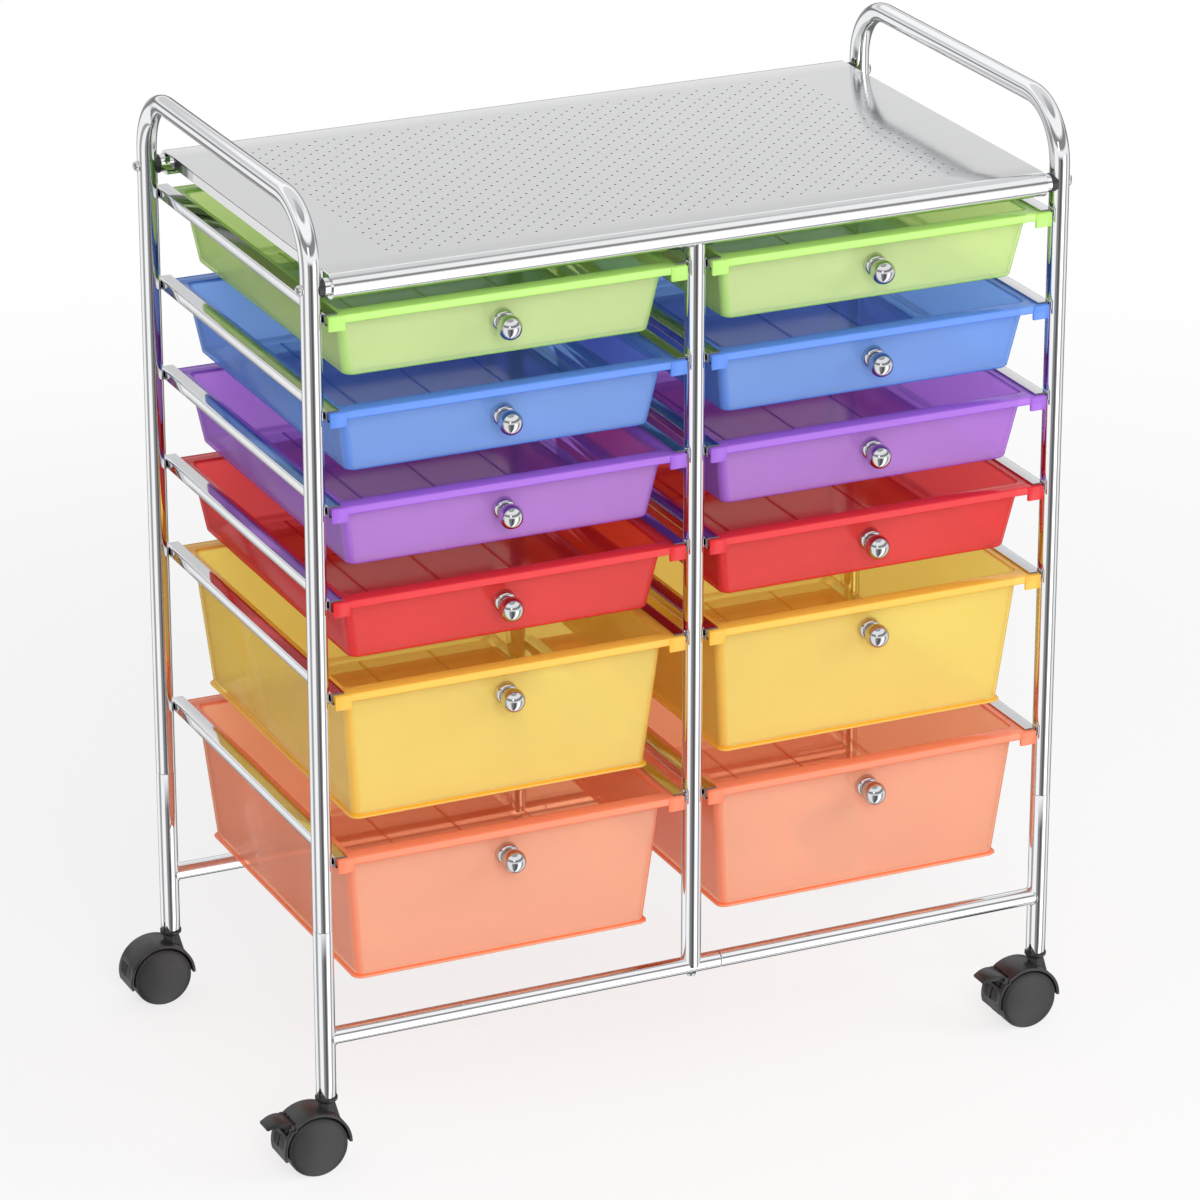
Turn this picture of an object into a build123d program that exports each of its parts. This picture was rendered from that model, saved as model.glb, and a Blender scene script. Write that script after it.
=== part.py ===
from build123d import *
from math import acos, asin, cos, degrees, radians, sin, tan
import os

# Rolling cart with two columns of six drawers, in millimetres.
# +Z is up, the drawers open towards -Y, and the origin is on the floor
# midway between the four outer posts.

# Tube frame
post_spacing_x = 632.0
post_spacing_y = 341.0
post_d = 16.0
post_wall = 1.0
bar_d = 14.0
bar_wall = 1.0
caster_height = 60.0
seam_height = 144.0
bottom_bar_height = 52.0
top_tube_height = 665.0
handle_rise = 60.5
handle_bend_r = 48.0
leg_plug_len = 40.0
bar_plug_len = 22.0
bar_seam_x = 24.5
plug_play = 0.05
seam_gap = 0.3
leg_slit_w = 1.2
leg_slit_h = 10.0
leg_slit_deg = 210.0

# Screws, saddle washers and the threaded ends that they enter
screw_d = 4.8
screw_play = 0.2
screw_len = 30.0
screw_head_d = 8.4
screw_head_h = 2.8
insert_len = 14.0
saddle_len = 1.6
saddle_lip = 0.6
spigot_d = 8.0
spigot_len = 5.0

# Top panel
panel_side_gap = 7.0
panel_t = 1.2
curl_t = 2.6
curl_play = 0.2
curl_gap = 0.3
flange_h = 9.0
flange_setback = 12.0

# Drawer rails
rail_h = 9.0
rail_t = 1.0
rail_top_w = 11.0
rail_lip_w = 4.0
rail_overrun = 6.0
first_rail_drop = 28.5
shallow_pitch = 76.0
deep_pitch = 136.0
shallow_rows = 4

# Drawers
side_play = 1.2
under_play = 0.25
over_play = 0.45
stop_play = 0.3
rim_rear_gap = 5.5
rim_overhang = 12.3
rim_t = 2.0
rim_corner_r = 3.0
tab_w = 14.0
tab_h = 12.0
tub_corner_r = 7.5
tub_wall = 2.0
floor_t = 2.2
shallow_h = 57.0
shallow_draft = 9.5
shallow_bottom_r = 2.5
deep_h = 115.0
deep_draft = 5.5
base_lip = 2.5
base_lip_t = 2.4
rib_w = 2.0
rib_h = 0.8
rib_inset = 14.0
rib_columns = 3
rib_rows = 2

# Knobs
knob_drop = 27.0
knob_d = 19.6
knob_reach = 15.5
knob_base_d = 17.4
knob_base_t = 1.4
knob_neck_d = 8.6
knob_neck_flare = 0.4
knob_screw_d = 4.0
knob_screw_play = 0.05
knob_screw_len = 12.0
knob_bore_end_gap = 1.0
knob_screw_head_d = 8.0
knob_screw_head_h = 2.4

# Casters
wheel_d = 50.0
wheel_w = 12.0
wheel_dome = 2.0
wheel_play = 0.5
wheel_edge = 1.0
wheel_rim = 4.0
wheel_hub_d = 15.0
wheel_recess = 7.0
axle_d = 5.0
axle_play = 0.05
axle_cap = 2.5
web_t = 6.0
web_boss_d = 13.0
hood_r = 28.6
hood_wall = 2.2
hood_w = 30.0
hood_front_deg = 0.0
hood_span_deg = 195.0
caster_trail = 13.0
neck_d = 12.5
gusset_drop = 1.0
gusset_deg = 36.0
collar_t = 3.0
collar_lip = 0.8
collar_lip_h = 1.5
collar_play = 0.1
swivel_gap = 0.3
sleeve_len = 38.0
stem_d = 6.0
stem_play = 0.06
stem_seat = 8.0
stem_len = 33.0
stem_groove_w = 2.0
stem_groove_depth = 0.7

# Brake levers
lever_deg = 136.0
lever_pin_in = 0.2
lever_hub_r = 2.9
lever_len = 18.5
lever_tip_r = 1.7
lever_lift_deg = 176.0
lever_w = 22.0
lever_tip_w = 14.0
lever_crown = 2.0
lever_play = 0.4
lever_window_below = 16.0
lever_window_above = 9.0
ear_r = 3.0
ear_t = 2.6
trunnion_d = 2.8
trunnion_play = 0.05

# Places worked out from the sizes above
post_r = post_d / 2
bar_r = bar_d / 2
post_x = post_spacing_x / 2
post_y = post_spacing_y / 2
leg_z = caster_height
seam_z = leg_z + seam_height
bottom_bar_z = leg_z + bottom_bar_height
top_tube_z = leg_z + top_tube_height
handle_z = top_tube_z + handle_rise
tube_half = post_x - post_r - saddle_len
curl_in = bar_r + curl_play
curl_out = curl_in + curl_t
panel_top = top_tube_z + curl_out
panel_w = 2 * (post_x - post_r - panel_side_gap)

rail_len = post_spacing_y + 2 * rail_overrun
rail_levels = [top_tube_z - first_rail_drop - shallow_pitch * row for row in range(shallow_rows + 1)]
rail_levels.append(rail_levels[-1] - deep_pitch)

column_x = post_x / 2
skirt_h = rail_h - 2 * rail_t - under_play - over_play
rim_w = post_x - post_d - 2 * rail_t - 2 * side_play
rim_front = -(rail_len / 2 + stop_play + rim_t)
rim_rear = rail_len / 2 - rim_rear_gap
rim_len = rim_rear - rim_front
rim_mid = (rim_rear + rim_front) / 2
tub_w = rim_w - 2 * rim_overhang
tub_len = rim_len - 2 * rim_overhang
tub_front = rim_front + rim_overhang

wheel_r = wheel_d / 2
axle_z = wheel_r
wheel_inner = web_t / 2 + wheel_play
wheel_outer = wheel_inner + wheel_w
axle_half = wheel_outer + wheel_dome - axle_cap - wheel_play
neck_top = leg_z - collar_t - swivel_gap
stem_bottom = neck_top - stem_seat
stem_top = leg_z + stem_len
lever_pin_r = hood_r - lever_pin_in

corners = {
    "front_left": (-post_x, -post_y),
    "front_right": (post_x, -post_y),
    "rear_left": (-post_x, post_y),
    "rear_right": (post_x, post_y),
}
colours = ["green", "blue", "purple", "red", "yellow", "orange"]
columns = {"left": -column_x, "right": column_x}


def save(part, name):
    """Label a finished piece and write its STEP file."""
    part.label = name
    export_step(part, f"parts/{name}.step")


def polar(radius, angle):
    """Point at a radius and an angle in degrees in a sketch."""
    return (radius * cos(radians(angle)), radius * sin(radians(angle)))


os.makedirs("parts", exist_ok=True)


# Side loops: one bent tube each, handle and two posts
def side_loop(x):
    with BuildPart() as loop:
        with BuildLine(Plane.YZ.offset(x)) as path:
            FilletPolyline(
                (-post_y, seam_z + seam_gap),
                (-post_y, handle_z),
                (post_y, handle_z),
                (post_y, seam_z + seam_gap),
                radius=handle_bend_r,
            )
        with BuildSketch(Plane((x, -post_y, seam_z + seam_gap))):
            Circle(post_r)
            Circle(post_r - post_wall, mode=Mode.SUBTRACT)
        sweep(path=path.wire())
        with BuildSketch(Plane.YZ.offset(x)):
            with Locations((-post_y, top_tube_z), (post_y, top_tube_z)):
                Circle((screw_d + screw_play) / 2)
        extrude(amount=post_d, both=True, mode=Mode.SUBTRACT)
    return loop.part


save(side_loop(-post_x), "side_loop_left")
save(side_loop(post_x), "side_loop_right")


# Lower legs: tube with a swaged upper end, and a slit at the foot for its socket
def lower_leg(x, y):
    outside = post_r
    inside = post_r - post_wall
    plug = inside - plug_play
    with BuildPart() as leg:
        with BuildSketch(Plane((x, y, leg_z), x_dir=(1, 0, 0), z_dir=(0, -1, 0))):
            with BuildLine():
                Polyline(
                    (inside, 0),
                    (outside, 0),
                    (outside, seam_height),
                    (plug, seam_height),
                    (plug, seam_height + leg_plug_len),
                    (plug - post_wall, seam_height + leg_plug_len),
                    (plug - post_wall, seam_height - 2 * post_wall),
                    (inside, seam_height - 2 * post_wall),
                    close=True,
                )
            make_face()
        revolve(axis=Axis((x, y, leg_z), (0, 0, 1)))
        with BuildSketch(Plane((x, y, leg_z)).rotated((0, 0, leg_slit_deg))):
            with Locations((outside, 0)):
                Rectangle(4 * post_wall, leg_slit_w)
        extrude(amount=leg_slit_h, mode=Mode.SUBTRACT)
    return leg.part


for corner, (x, y) in corners.items():
    save(lower_leg(x, y), f"lower_leg_{corner}")


# Top tubes: end inserts take the handle screws, a hole below takes the centre post
with BuildPart() as top_tubes:
    for y in (-post_y, post_y):
        with BuildSketch(Plane((-tube_half, y, top_tube_z), x_dir=(0, 1, 0), z_dir=(1, 0, 0))):
            Circle(bar_r)
            Circle(bar_r - bar_wall, mode=Mode.SUBTRACT)
        extrude(amount=2 * tube_half)
        for end in (-tube_half, tube_half - insert_len):
            with BuildSketch(Plane((end, y, top_tube_z), x_dir=(0, 1, 0), z_dir=(1, 0, 0))):
                Circle(bar_r - bar_wall)
                Circle((screw_d + screw_play) / 2, mode=Mode.SUBTRACT)
            extrude(amount=insert_len)
        with BuildSketch(Plane((0, y, top_tube_z))):
            Circle(spigot_d / 2 + plug_play)
        extrude(amount=-bar_d, mode=Mode.SUBTRACT)
save(top_tubes.part, "top_tubes")

# Saddle washers: hollowed to sit on the posts
with BuildPart() as saddles:
    for x, y in corners.values():
        side = 1 if x > 0 else -1
        with BuildSketch(Plane((side * tube_half, y, top_tube_z), x_dir=(0, side, 0), z_dir=(side, 0, 0))):
            Circle(bar_r + saddle_lip)
            Circle((screw_d + screw_play) / 2, mode=Mode.SUBTRACT)
        extrude(amount=saddle_len + post_r)
        with BuildSketch(Plane((x, y, top_tube_z - bar_d))):
            Circle(post_r)
        extrude(amount=2 * bar_d, mode=Mode.SUBTRACT)
        with BuildSketch(Plane((x, y, top_tube_z - bar_d))):
            with Locations((side * post_r, 0)):
                Rectangle(2 * post_r, 2 * post_d)
        extrude(amount=2 * bar_d, mode=Mode.SUBTRACT)
save(saddles.part, "saddle_washers")


# Bottom bars: two tubes plugged together beside the centre post, coped to the legs
def bottom_bar(y):
    inside = bar_r - bar_wall
    with BuildPart() as bar:
        with BuildSketch(Plane((-post_x, y, bottom_bar_z), x_dir=(0, 1, 0), z_dir=(1, 0, 0))):
            Circle(bar_r)
            Circle(inside, mode=Mode.SUBTRACT)
        extrude(amount=post_x + bar_seam_x - seam_gap)
        with BuildSketch(Plane((0, y, bottom_bar_z - bar_d))):
            Circle((screw_d + screw_play) / 2)
        extrude(amount=2 * bar_d, mode=Mode.SUBTRACT)
        with BuildSketch(Plane((bar_seam_x, y, bottom_bar_z), x_dir=(0, 0, 1), z_dir=(0, 1, 0))):
            with BuildLine():
                Polyline(
                    (inside, post_x - bar_seam_x),
                    (bar_r, post_x - bar_seam_x),
                    (bar_r, 0),
                    (inside - plug_play, 0),
                    (inside - plug_play, -bar_plug_len),
                    (inside - plug_play - bar_wall, -bar_plug_len),
                    (inside - plug_play - bar_wall, 2 * bar_wall),
                    (inside, 2 * bar_wall),
                    close=True,
                )
            make_face()
        revolve(axis=Axis((bar_seam_x, y, bottom_bar_z), (1, 0, 0)))
        with BuildSketch(Plane((0, y, bottom_bar_z - bar_d))):
            with Locations((-post_x, 0), (post_x, 0)):
                Circle(post_r)
        extrude(amount=2 * bar_d, mode=Mode.SUBTRACT)
    return bar.part


save(bottom_bar(-post_y), "bottom_bar_front")
save(bottom_bar(post_y), "bottom_bar_rear")

# Centre posts: threaded plug at the foot, coped to its bar, and a spigot through the panel's curl
with BuildPart() as center_posts:
    for y in (-post_y, post_y):
        with BuildSketch(Plane((0, y, bottom_bar_z))):
            Circle(post_r)
            Circle(post_r - post_wall, mode=Mode.SUBTRACT)
        extrude(amount=top_tube_z - bottom_bar_z)
        with BuildSketch(Plane((0, y, bottom_bar_z))):
            Circle(post_r - post_wall)
            Circle((screw_d + screw_play) / 2, mode=Mode.SUBTRACT)
        extrude(amount=bar_r + insert_len)
        with BuildSketch(Plane((0, y, top_tube_z))):
            Circle(post_r - post_wall)
        extrude(amount=-(bar_r + insert_len))
        with BuildSketch(Plane((-post_d, y, 0), x_dir=(0, 1, 0), z_dir=(1, 0, 0))):
            with Locations((0, bottom_bar_z)):
                Circle(bar_r)
            with Locations((0, top_tube_z)):
                Circle(curl_out + curl_gap)
        extrude(amount=2 * post_d, mode=Mode.SUBTRACT)
        with BuildSketch(Plane((0, y, top_tube_z - bar_r + spigot_len))):
            Circle(spigot_d / 2)
        extrude(amount=-(spigot_len + curl_out + post_wall))
save(center_posts.part, "center_posts")

# Top panel: flat sheet, curled over both top tubes, with turned-down side edges
with BuildPart() as top_panel:
    with BuildSketch(Plane.YZ.offset(-panel_w / 2)):
        with BuildLine():
            Line((-post_y, panel_top), (post_y, panel_top))
            rear_out = CenterArc((post_y, top_tube_z), curl_out, 90, -180)
            rear_in = CenterArc((post_y, top_tube_z), curl_in, -90, 180)
            Line(rear_out @ 1, rear_in @ 0)
            front_in = CenterArc((-post_y, top_tube_z), curl_in, 90, 180)
            front_out = CenterArc((-post_y, top_tube_z), curl_out, 270, -180)
            Line(front_in @ 1, front_out @ 0)
            Polyline(
                rear_in @ 1,
                (post_y, panel_top - panel_t),
                (-post_y, panel_top - panel_t),
                front_in @ 0,
            )
        make_face()
    extrude(amount=panel_w)
    with BuildSketch(Plane.XY.offset(panel_top)):
        with Locations((-(panel_w - panel_t) / 2, 0), ((panel_w - panel_t) / 2, 0)):
            Rectangle(panel_t, post_spacing_y - 2 * flange_setback)
    extrude(amount=-flange_h)
    with BuildSketch(Plane.XY.offset(top_tube_z)):
        with Locations((0, -post_y), (0, post_y)):
            Circle(spigot_d / 2 + curl_gap)
    extrude(amount=-bar_d, mode=Mode.SUBTRACT)
save(top_panel.part, "top_panel")


# Rails: rolled C channels, wide flange above, short lip below
def rail_row(web_x, opening):
    with BuildPart() as rails:
        for level in rail_levels:
            back = (web_x, opening * rail_len / 2, level)
            with BuildSketch(Plane(back, x_dir=(opening, 0, 0), z_dir=(0, -opening, 0))):
                with BuildLine():
                    Polyline(
                        (0, 0),
                        (rail_lip_w, 0),
                        (rail_lip_w, rail_t),
                        (rail_t, rail_t),
                        (rail_t, rail_h - rail_t),
                        (rail_top_w, rail_h - rail_t),
                        (rail_top_w, rail_h),
                        (0, rail_h),
                        close=True,
                    )
                make_face()
            extrude(amount=rail_len)
    return rails.part


save(rail_row(-(post_x - post_r), 1), "rails_left")
save(rail_row(-post_r, -1), "rails_center_left")
save(rail_row(post_r, 1), "rails_center_right")
save(rail_row(post_x - post_r, -1), "rails_right")


# Pan-head screw along a plane's normal, its head on the plane and its shank behind it
def pan_screw(plane, shank_d, shank_len, head_d, head_h):
    with BuildPart() as screw:
        with BuildSketch(Plane(plane.origin, x_dir=plane.x_dir, z_dir=-plane.y_dir)):
            with BuildLine():
                Polyline(
                    (0, -shank_len),
                    (shank_d / 2, -shank_len),
                    (shank_d / 2, 0),
                    (head_d / 2, 0),
                    (head_d / 2, head_h / 2),
                    (head_d / 2 - head_h / 2, head_h),
                    (0, head_h),
                    close=True,
                )
            make_face()
        revolve(axis=Axis(plane.origin, plane.z_dir))
    return screw.part


with BuildPart() as frame_screws:
    for x, y in corners.values():
        side = 1 if x > 0 else -1
        seat = Plane((x + side * post_r, y, top_tube_z), x_dir=(0, side, 0), z_dir=(side, 0, 0))
        add(pan_screw(seat, screw_d, screw_len, screw_head_d, screw_head_h))
    for y in (-post_y, post_y):
        seat = Plane((0, y, bottom_bar_z - bar_r), x_dir=(1, 0, 0), z_dir=(0, 0, -1))
        add(pan_screw(seat, screw_d, screw_len, screw_head_d, screw_head_h))
save(frame_screws.part, "frame_screws")


# Front wall of a drawer where its knob sits: a plane whose normal points out of the wall
def knob_seat(x, rim_z, draft):
    wall_y = tub_front + knob_drop * tan(radians(draft))
    outward = (0, -cos(radians(draft)), -sin(radians(draft)))
    return Plane((x, wall_y, rim_z - knob_drop), x_dir=(1, 0, 0), z_dir=outward)


# A block that narrows downwards from a plane, its four leaning corner edges rounded
def drafted_block(plane, width, length, depth, draft, corner_r):
    with BuildPart() as block:
        with BuildSketch(plane):
            Rectangle(width, length)
        extrude(amount=-depth, taper=draft)
        level_edges = block.faces().filter_by(Axis.Z).edges()
        fillet(block.edges() - level_edges, radius=corner_r)
    return block.part


# Drawers: drafted tub hung from a skirted rim that runs inside the rails
def drawer(x, rim_z, height, draft, deep):
    rim_plane = Plane((x, rim_mid, rim_z))
    skirt_plane = Plane((x, rim_mid, rim_z - skirt_h))
    shrink = 2 * height * tan(radians(draft))
    floor_shrink = 2 * (height - floor_t) * tan(radians(draft))
    inner_w = tub_w - 2 * tub_wall
    inner_len = tub_len - 2 * tub_wall
    floor_w = inner_w - floor_shrink
    floor_len = inner_len - floor_shrink
    with BuildPart() as tub:
        with BuildSketch(skirt_plane):
            RectangleRounded(rim_w, rim_len, rim_corner_r)
        extrude(amount=skirt_h)
        with BuildSketch(skirt_plane):
            RectangleRounded(rim_w - 2 * rim_t, rim_len - 2 * rim_t, rim_corner_r - rim_t)
        extrude(amount=skirt_h - rim_t, mode=Mode.SUBTRACT)
        add(drafted_block(rim_plane, tub_w, tub_len, height, draft, tub_corner_r))
        if deep:
            with BuildSketch(rim_plane.offset(-height)):
                RectangleRounded(tub_w - shrink + 2 * base_lip, tub_len - shrink + 2 * base_lip, tub_corner_r)
            extrude(amount=base_lip_t)
        else:
            fillet(tub.faces().sort_by(Axis.Z)[0].outer_wire().edges(), radius=shallow_bottom_r)
        hollow = drafted_block(rim_plane, inner_w, inner_len, height - floor_t, draft, tub_corner_r - tub_wall)
        add(hollow, mode=Mode.SUBTRACT)
        with BuildSketch(rim_plane.offset(floor_t - height)):
            with GridLocations(floor_w / (rib_columns + 1), 0, rib_columns, 1):
                Rectangle(rib_w, floor_len - 2 * rib_inset)
            with GridLocations(0, floor_len / (rib_rows + 1), 1, rib_rows):
                Rectangle(floor_w - 2 * rib_inset, rib_w)
        extrude(amount=rib_h)
        with BuildSketch(Plane((x, rim_front, rim_z), x_dir=(1, 0, 0), z_dir=(0, -1, 0))):
            with Locations((-(rim_w - tab_w) / 2, -tab_h / 2), ((rim_w - tab_w) / 2, -tab_h / 2)):
                Rectangle(tab_w - 2 * rim_corner_r, tab_h)
        extrude(amount=-rim_t)
        with BuildSketch(knob_seat(x, rim_z, draft)):
            Circle(knob_screw_d / 2 + knob_screw_play)
        extrude(amount=-3 * tub_wall, mode=Mode.SUBTRACT)
    return tub.part


# Knobs: turned ball on a waisted neck, drawn to the wall by a screw from inside
def knob(x, rim_z, draft):
    seat = knob_seat(x, rim_z, draft)
    ball_r = knob_d / 2
    neck_end_r = knob_neck_d / 2 + knob_neck_flare
    ball_start = degrees(acos(neck_end_r / ball_r))
    bore_end = knob_screw_len - tub_wall + knob_bore_end_gap
    bore_r = knob_screw_d / 2 + knob_screw_play
    with BuildPart() as turned:
        with BuildSketch(Plane(seat.origin, x_dir=(1, 0, 0), z_dir=-seat.y_dir)):
            with BuildLine():
                ball = CenterArc((0, knob_reach), ball_r, -ball_start, 90 + ball_start)
                base = Polyline(
                    (bore_r, 0),
                    (knob_base_d / 2, 0),
                    (knob_base_d / 2, knob_base_t / 2),
                    (knob_base_d / 2 - knob_base_t, knob_base_t),
                )
                neck_mid = (knob_base_t + (ball @ 0).Y) / 2
                ThreePointArc(base @ 1, (knob_neck_d / 2, neck_mid), ball @ 0)
                Polyline(ball @ 1, (0, bore_end), (bore_r, bore_end), (bore_r, 0))
            make_face()
        revolve(axis=Axis(seat.origin, seat.z_dir))
        inner_face = Plane(seat.origin - seat.z_dir * tub_wall, x_dir=seat.x_dir, z_dir=-seat.z_dir)
        add(pan_screw(inner_face, knob_screw_d, knob_screw_len, knob_screw_head_d, knob_screw_head_h))
    return turned.part


for column, x in columns.items():
    for row, level in enumerate(rail_levels):
        deep = row >= shallow_rows
        height = deep_h if deep else shallow_h
        draft = deep_draft if deep else shallow_draft
        rim_z = level + rail_t + under_play + skirt_h
        save(drawer(x, rim_z, height, draft, deep), f"drawer_{colours[row]}_{column}")
        save(knob(x, rim_z, draft), f"knob_{colours[row]}_{column}")

# Stem sockets: plastic sleeves up inside the legs, with a cupped collar below
with BuildPart() as stem_sockets:
    for x, y in corners.values():
        bore_r = stem_d / 2 + stem_play
        sleeve_r = post_r - post_wall - plug_play
        cup_r = post_r + collar_play
        with BuildSketch(Plane((x, y, leg_z), x_dir=(1, 0, 0), z_dir=(0, -1, 0))):
            with BuildLine():
                Polyline(
                    (bore_r, -collar_t),
                    (neck_d / 2 + collar_lip, -collar_t),
                    (cup_r + collar_lip, -collar_t / 3),
                    (cup_r + collar_lip, collar_lip_h),
                    (cup_r, collar_lip_h),
                    (cup_r, 0),
                    (sleeve_r, 0),
                    (sleeve_r, sleeve_len),
                    (bore_r, sleeve_len),
                    close=True,
                )
            make_face()
        revolve(axis=Axis((x, y, leg_z), (0, 0, 1)))
save(stem_sockets.part, "stem_sockets")


# Plane through the axle of the caster under a leg, with X forward and Z up
def axle_plane(x, y):
    return Plane((x - caster_trail, y, axle_z), x_dir=(1, 0, 0), z_dir=(0, -1, 0))


# Caster housing: moulded hood over both wheels, centre web, neck and gusset
def caster_housing(x, y, braked):
    axle = axle_plane(x, y)
    neck_height = neck_top - axle_z
    pin = polar(lever_pin_r, lever_deg)
    with BuildPart() as housing:
        with BuildSketch(axle):
            with BuildLine():
                front = Line((0, 0), polar(hood_r, hood_front_deg))
                crown = CenterArc((0, 0), hood_r, hood_front_deg, hood_span_deg)
                Line(crown @ 1, front @ 0)
            make_face()
        extrude(amount=hood_w / 2, both=True)
        with BuildSketch(Plane((x, y, axle_z))):
            Circle(neck_d / 2)
        extrude(amount=neck_height)
        with BuildSketch(axle):
            gusset_top = neck_height - gusset_drop
            Polygon(
                (caster_trail, 0),
                (caster_trail, gusset_top),
                (caster_trail + neck_d / 2, gusset_top),
                polar(hood_r, gusset_deg),
                align=None,
            )
        extrude(amount=web_t / 2, both=True)
        if braked:
            for side in (-1, 1):
                with BuildSketch(axle.offset(side * (lever_w / 2 + lever_play))):
                    with Locations(pin):
                        Circle(ear_r)
                extrude(amount=side * ear_t)
        for side in (-1, 1):
            with BuildSketch(axle.offset(side * web_t / 2)):
                Circle(hood_r - hood_wall)
                if braked:
                    with Locations(pin):
                        Circle(ear_r, mode=Mode.SUBTRACT)
            extrude(amount=side * hood_w, mode=Mode.SUBTRACT)
        with BuildSketch(axle):
            Circle(web_boss_d / 2)
        extrude(amount=web_t / 2, both=True)
        with BuildSketch(axle):
            Circle(axle_d / 2 + axle_play)
        extrude(amount=web_t, both=True, mode=Mode.SUBTRACT)
        with BuildSketch(Plane((x, y, stem_bottom))):
            Circle(stem_d / 2)
        extrude(amount=2 * stem_seat, mode=Mode.SUBTRACT)
        if braked:
            window_start = lever_deg - lever_window_above
            window_span = lever_window_above + lever_window_below
            with BuildSketch(axle):
                with BuildLine():
                    inner = CenterArc((0, 0), wheel_r, window_start, window_span)
                    outer = CenterArc((0, 0), hood_r + ear_r, window_start, window_span)
                    Line(inner @ 0, outer @ 0)
                    Line(inner @ 1, outer @ 1)
                make_face()
            extrude(amount=lever_w / 2 + lever_play, both=True, mode=Mode.SUBTRACT)
            with BuildSketch(axle):
                with Locations(pin):
                    Circle(trunnion_d / 2 + trunnion_play)
            extrude(amount=hood_w, both=True, mode=Mode.SUBTRACT)
    return housing.part


# Caster pins: the axle, and the stem with its retaining groove
def caster_pins(x, y):
    with BuildPart() as pins:
        with BuildSketch(axle_plane(x, y)):
            Circle(axle_d / 2)
        extrude(amount=axle_half, both=True)
        with BuildSketch(Plane((x, y, stem_bottom))):
            Circle(stem_d / 2)
        extrude(amount=stem_top - stem_bottom)
        groove_z = stem_top - 3 * stem_groove_w
        with BuildSketch(Plane((x, y, groove_z))):
            Circle(stem_d)
            Circle(stem_d / 2 - stem_groove_depth, mode=Mode.SUBTRACT)
        extrude(amount=stem_groove_w, mode=Mode.SUBTRACT)
    return pins.part


# Wheel: moulded cup with a domed cover and a blind bore; side is -1 in front of the web
def caster_wheel(x, y, side):
    bore_r = axle_d / 2 + axle_play
    bore_end = wheel_outer + wheel_dome - axle_cap
    center = (x - caster_trail, y, axle_z)
    cover_r = wheel_r - wheel_edge
    dome_r = (cover_r**2 + wheel_dome**2) / (2 * wheel_dome)
    dome_deg = degrees(asin(cover_r / dome_r))
    with BuildPart() as wheel:
        with BuildSketch(Plane(center, x_dir=(0, side, 0), z_dir=(side, 0, 0))):
            with BuildLine():
                dome = CenterArc((wheel_outer + wheel_dome - dome_r, 0), dome_r, 0, dome_deg)
                Polyline(
                    dome @ 0,
                    (bore_end, 0),
                    (bore_end, bore_r),
                    (wheel_inner, bore_r),
                    (wheel_inner, wheel_hub_d / 2),
                    (wheel_inner + wheel_recess, wheel_hub_d / 2),
                    (wheel_inner + wheel_recess, wheel_r - wheel_rim),
                    (wheel_inner, wheel_r - wheel_rim),
                    (wheel_inner, wheel_r - wheel_edge),
                    (wheel_inner + wheel_edge, wheel_r),
                    (wheel_outer - wheel_edge, wheel_r),
                    dome @ 1,
                )
            make_face()
        revolve(axis=Axis(center, (0, 1, 0)))
    return wheel.part


# Brake lever: crowned pedal, narrower at its tip, with trunnions that turn in the hood's ears
def brake_lever(x, y):
    axle = axle_plane(x, y)
    pin = Vector(polar(lever_pin_r, lever_deg))
    tip = pin + Vector(polar(lever_len, lever_lift_deg))
    above = Vector(polar(1.0, lever_lift_deg - 90))
    middle = (pin + tip) / 2
    with BuildPart() as lever:
        with BuildSketch(axle):
            with Locations(pin):
                Circle(lever_hub_r)
            with Locations(tip):
                Circle(lever_tip_r)
            with BuildLine():
                top = ThreePointArc(
                    pin + above * lever_hub_r,
                    middle + above * (lever_hub_r + lever_crown),
                    tip + above * lever_tip_r,
                )
                under = ThreePointArc(tip - above * lever_tip_r, middle, pin - above * lever_hub_r)
                Line(top @ 1, under @ 0)
                Line(under @ 1, top @ 0)
            make_face()
        extrude(amount=lever_w / 2, both=True)
        with BuildSketch(Plane((x - caster_trail, y, axle_z))):
            root_x = pin.X + lever_hub_r
            tip_x = tip.X - lever_tip_r
            Polygon(
                (root_x, -lever_w / 2),
                (root_x, lever_w / 2),
                (pin.X, lever_w / 2),
                (tip_x, lever_tip_w / 2),
                (tip_x, -lever_tip_w / 2),
                (pin.X, -lever_w / 2),
                align=None,
            )
        extrude(amount=2 * hood_r, mode=Mode.INTERSECT)
        with BuildSketch(axle):
            with Locations(pin):
                Circle(trunnion_d / 2)
        extrude(amount=lever_w / 2 + lever_play + ear_t, both=True)
    return lever.part


for corner, (x, y) in corners.items():
    braked = y < 0
    save(caster_housing(x, y, braked), f"caster_housing_{corner}")
    save(caster_pins(x, y), f"caster_pins_{corner}")
    save(caster_wheel(x, y, -1), f"wheel_outer_{corner}" if y < 0 else f"wheel_inner_{corner}")
    save(caster_wheel(x, y, 1), f"wheel_inner_{corner}" if y < 0 else f"wheel_outer_{corner}")
    if braked:
        save(brake_lever(x, y), f"brake_lever_{corner}")
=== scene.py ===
import bmesh
import bpy
from math import acos, cos, pi, radians, sin, sqrt, tan
from mathutils import Matrix, Vector


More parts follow.
